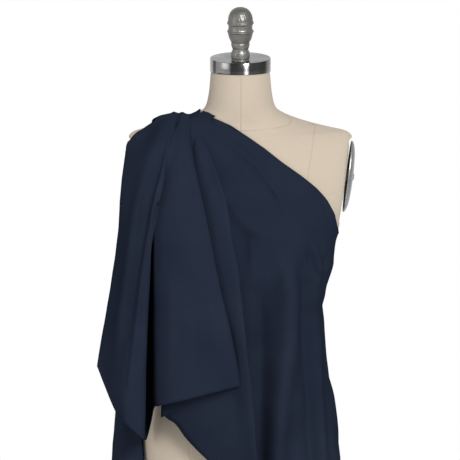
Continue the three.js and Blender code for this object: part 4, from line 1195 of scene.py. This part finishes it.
WRAP_STROKES = [
    ([(222, 122), (264, 163), (282, 185), (291, 206)], 7.0, 4.2, 0.25),
    ([(236, 150), (270, 195), (287, 219)], 6.0, 4.2, 0.25),
    ([(229, 136), (266, 178), (287, 211)], -6.5, 3.6, 0.25),
    ([(212, 125), (236, 150), (258, 180)], -3.0, 4.5, 0.3),
    ([(252, 150), (280, 178), (296, 200)], -3.4, 3.6, 0.3),
    ([(226, 200), (242, 220), (256, 231), (268, 240)], -9.0, 5.2, 0.3),
    ([(236, 226), (244, 244), (247, 270)], 6.0, 5.0, 0.35),
    ([(248, 240), (252, 262), (254, 290)], -3.5, 4.5, 0.35),
    ([(284, 244), (287, 290), (285, 345), (279, 405), (276, 460), (275, 540)], -30, 11.0, 0.15),
    ([(304, 248), (308, 345), (312, 395), (314, 460), (316, 540)], 13.0, 9.5, 0.15),
    ([(260, 262), (261, 345), (261, 405), (261, 460), (264, 540)], 8.0, 7.0, 0.2),
    ([(306, 243), (312, 262), (321, 284)], 5.0, 3.2, 0.3),
    ([(313, 240), (317, 258), (322, 278)], -5.0, 3.0, 0.3),
    ([(325, 250), (326, 276), (322, 297)], 5.0, 3.0, 0.3),
    ([(323, 312), (330, 400), (334, 460), (337, 540)], 7.0, 5.0, 0.2),
    ([(316, 300), (319, 400), (322, 460), (324, 540)], -9.0, 5.5, 0.2),
    ([(300, 182), (318, 200), (330, 220)], -3.0, 4.0, 0.3),
    ([(310, 190), (324, 206), (332, 226)], 2.4, 3.5, 0.3),
]
BACK_STROKES = [
    ([(150, 1240), (90, 1290), (20, 1350), (-40, 1400)], 4.0, 14, 0.2),
    ([(160, 1200), (100, 1250), (20, 1310), (-50, 1370)], -4.0, 13, 0.2),
    ([(150, 1150), (90, 1200), (20, 1265), (-40, 1330)], 4.5, 15, 0.2),
    ([(120, 1090), (118, 950), (124, 800), (128, 640)], 9.0, 18, 0.2),
    ([(82, 1100), (78, 950), (80, 800), (82, 640)], -9.0, 18, 0.2),
    ([(40, 1110), (40, 950), (40, 800), (42, 640)], 8.0, 18, 0.2),
    ([(2, 1110), (0, 950), (0, 800), (0, 640)], -8.0, 18, 0.2),
    ([(152, 1090), (156, 950), (160, 800), (162, 640)], -6.0, 12, 0.2),
]
CASCADE_STROKES = [
    ([(178, 119), (168, 155), (157, 196), (149, 238), (143, 276), (138, 316), (133, 355), (128, 396)], 5.2, 2.3, 0.06),
    ([(171, 124), (160, 160), (149, 203), (141, 245), (135, 283), (130, 320), (125, 358)], -3.2, 3.4, 0.12),
    ([(150, 150), (136, 210), (124, 290), (112, 372)], 2.6, 3.6, 0.25),
    ([(160, 135), (140, 200), (131, 270), (121, 350), (117, 390)], -3.0, 3.6, 0.25),
    ([(132, 172), (124, 230), (116, 300), (108, 350)], -2.4, 3.6, 0.3),
    ([(165, 128), (150, 180), (142, 230)], -2.0, 2.8, 0.3),
    ([(184, 130), (184, 180), (186, 226)], -2.4, 5.0, 0.3),
    ([(188, 135), (196, 190), (203, 226)], 1.6, 3.0, 0.3),
    ([(168, 226), (185, 221), (204, 226)], 2.0, 4.0, 0.3),
    ([(172, 260), (171, 330), (170, 395)], 2.0, 5.0, 0.3),
    ([(190, 270), (196, 330), (200, 390)], -1.6, 6.0, 0.3),
    ([(205, 270), (213, 330), (222, 380)], 1.8, 5.0, 0.3),
]

rows = 150
cascade = stroke(patch(CASCADE, rows, 9), CASCADE_STROKES)
side_fold = stroke(patch(SIDE_FOLD, rows, 9), [([(205, 150), (212, 178), (220, 205)], -1.5, 4, 0.3), ([(226, 300), (232, 370), (236, 450)], -2.5, 6, 0.3)])
back_fall = stroke(patch(BACK_FALL, 120, 10), [([(-170, 1300), (-185, 1100), (-190, 900)], 1.5, 10, 0.2)], "back")
wrap = stroke(stroke(wrap_grid(150, 230), WRAP_STROKES), BACK_STROKES, "back")

# the upper edge brought exactly to its line
EDGE_LINE = np.array([(190, 116), (196, 112), (204, 111), (210, 114), (222, 120.6), (239, 131), (258, 144.6), (277, 159), (297, 173.5), (340, 204)], float)
top_px = pixel(wrap[-1])
off = top_px[:, 1] - np.interp(top_px[:, 0], EDGE_LINE[:, 0], EDGE_LINE[:, 1])
off = np.clip(off, -5, 5) * (wrap[-1, :, 1] < -0.005) * smooth(196, 202, top_px[:, 0]) * smooth(312, 285, top_px[:, 0])
off = np.convolve(np.r_[off[0], off, off[-1]], [0.25, 0.5, 0.25], "valid")
for k in range(16):
    wrap[-1 - k, :, 2] += off * 1.75 / 0.984 * MM * float(1 - smooth(0, 16, np.array(float(k))))

# gathered over the shoulder
sx_ = np.linspace(-124, -69.5, 43)
sy_ = np.linspace(-50, 58, 54)
saddle = np.zeros((len(sy_), len(sx_), 3))
for c, x in enumerate(sx_):
    top = []
    for y in sy_:
        hit = BODY_TREE.ray_cast(Vector((x * MM, y * MM, 1.6)), Vector((0, 0, -1)))[0]
        top.append(hit.z / MM if hit is not None else 1300.0)
    top = np.array(top)
    u = 240.3 + x / 1.75
    want = 1232.5 + ((230 - crest(u)) * 1.75 - 8 * 0.179) / 0.984
    ridge = np.interp(8, sy_, top)
    lift = max(2.2, want - ridge - 1.0) * np.exp(-(((sy_ - 4) / 30) ** 2)) + 2.6
    pleat = 1.3 * math.cos(2 * math.pi * (x + 86) / 15) - 2.2 * math.exp(-(((x + 86) / 3.5) ** 2))
    z = np.minimum(top + lift, want + 1.0) + pleat * np.exp(-(((sy_ - 2) / 40) ** 2)) - 1.2
    saddle[:, c] = np.stack([np.full(len(sy_), x), sy_, np.maximum(z, top + 2.0)], -1) * MM


def wrinkled(g, seed, amount=1.0):
    """Small soft unevenness of woven cloth."""
    du, dv = np.gradient(g, axis=1), np.gradient(g, axis=0)
    n = np.cross(du, dv)
    n /= np.maximum(1e-9, np.linalg.norm(n, axis=-1, keepdims=True))
    h = np.zeros(g.shape[:2])
    for k in np.ndindex(*h.shape):
        q = Vector(g[k])
        h[k] = 0.9 * noise.noise(q * 16 + Vector((seed, 0, 0))) + 0.4 * noise.noise(q * 42 + Vector((0, seed, 0)))
    return g + n * (h * amount)[..., None] * MM


verts, faces = [], []
cloths = [wrinkled(cascade, 3.0), wrinkled(side_fold, 7.0), wrinkled(back_fall, 11.0, 1.6), wrinkled(wrap, 17.0, 1.2), saddle]
for k, g in enumerate(cloths):
    r, c = g.shape[:2]
    faces += grid_faces(r, c, sum(len(v) for v in verts))
    verts.append(keep_clear(g.reshape(-1, 3), 0.0022))
    cloths[k] = verts[-1].reshape(r, c, 3)
cloth = new_object("draped_cloth", np.vstack(verts), faces)
bm = bmesh.new()
bm.from_mesh(cloth.data)
bmesh.ops.recalc_face_normals(bm, faces=bm.faces)
bm.to_mesh(cloth.data)
bm.free()
CLOTH_AREA = sum(f.area for f in cloth.data.polygons)
print("cloth area", round(CLOTH_AREA, 3))
solidify(cloth, 0.0011, 0.0)
finish_piece(cloth, CLOTH, "form", "navy_cloth", "fabric_length")

# narrow rolled hems along the cloth's edges
cas, sfd, bfl, wrp, sdl = cloths
hems = []
for edge in (cas[-1, : 4 * 9 + 1], cas[30:, 0], cas[-1, 7 * 9 : 11 * 9 + 1], cas[-1, 12 * 9 :], cas[40:, 11 * 9], sfd[60:, 0], bfl[-1], bfl[30:, 0], wrp[0], wrp[-1, 6:]):
    hems.append(tube_along(edge, 0.0011, 8, flat=1.0))
hems.append(tube_along(cas[-3, : 4 * 9 + 1], 0.0009, 8))
hem = gather_bodies("cloth_hems", hems, CLOTH, "navy_cloth")

# ---------------------------------------------------------------- stand: fine turned pieces
def stand_piece(name, profile, segments, mat, body, slot, node, place=None):
    o = turned_piece(profile, segments, place, name=name)
    return finish_piece(o, mat, body, slot, node)


stand_piece("mast_tube", [(12, 252), (12.3, 251.6), (13.7, 251.6), (14, 252), (14, 500), (14, 765), (13.6, 765.5), (12.4, 765.5), (12, 765), (12, 252)], 96, CHROME, "mast", "chrome_tube", "mast")
stand_piece("column_tube", [(16.4, 98.4), (16.8, 98), (18.6, 98), (19, 98.4), (19, 300), (19, 469.6), (18.6, 470), (16.8, 470), (16.4, 469.6), (16.4, 98.4)], 96, IRON, "stand", "iron_tube", "column")
for k in range(4):
    a = k * math.pi / 2
    place = Matrix.Rotation(a, 4, "Z") @ Matrix.Translation((262 + 18, 0, 30)) @ Matrix.Rotation(math.pi / 2, 4, "X")
    R = 30.0
    tyre = [(23.7, -10.6), (24.2, -11), (26.6, -11), (28.4, -10.4), (29.4, -9.2), (29.9, -7.4), (30, -5), (30, 0), (30, 5), (29.9, 7.4), (29.4, 9.2), (28.4, 10.4), (26.6, 11), (24.2, 11), (23.7, 10.6), (23.7, -10.6)]
    stand_piece("caster_tyre_%d_round" % (k + 1), tyre, 96, RUBBER, "wheel_%d" % (k + 1), "tyre_rubber", "caster_tyre_%d" % (k + 1), place)

# ---------------------------------------------------------------- floor, light
ring_ = np.linspace(0, 2 * math.pi, 96, endpoint=False)
floor = new_object("floor", [(3.1 * math.cos(t), 3.1 * math.sin(t), 0) for t in ring_], [tuple(range(96))], False)
fm, fnt, fsh = material("floor")
fsh.inputs["Base Color"].default_value = (0.86, 0.86, 0.86, 1)
fsh.inputs["Roughness"].default_value = 0.9
floor.data.materials.append(fm)
world = bpy.data.worlds.new("world")
scene.world = world
world.use_nodes = True
bg = world.node_tree.nodes["Background"]
bg.inputs[0].default_value = (1, 1, 1, 1)
bg.inputs[1].default_value = 1.0
scene.view_settings.view_transform = "Standard"
scene.view_settings.look = "None"


def area_light(name, loc, target, size, power, tone=(1, 1, 1)):
    d = bpy.data.lights.new(name, "AREA")
    d.shape = "RECTANGLE"
    d.size, d.size_y = size
    d.energy = power
    d.color = tone
    o = bpy.data.objects.new(name, d)
    scene.collection.objects.link(o)
    o.location = loc
    o.rotation_euler = (Vector(target) - Vector(loc)).to_track_quat("-Z", "Y").to_euler()
    return o


area_light("key", (1.05, -2.8, 2.85), (0, 0, 1.25), (0.9, 1.2), 160)
area_light("fill", (-3.0, -1.8, 2.1), (0, 0, 1.2), (1.6, 2.4), 34)
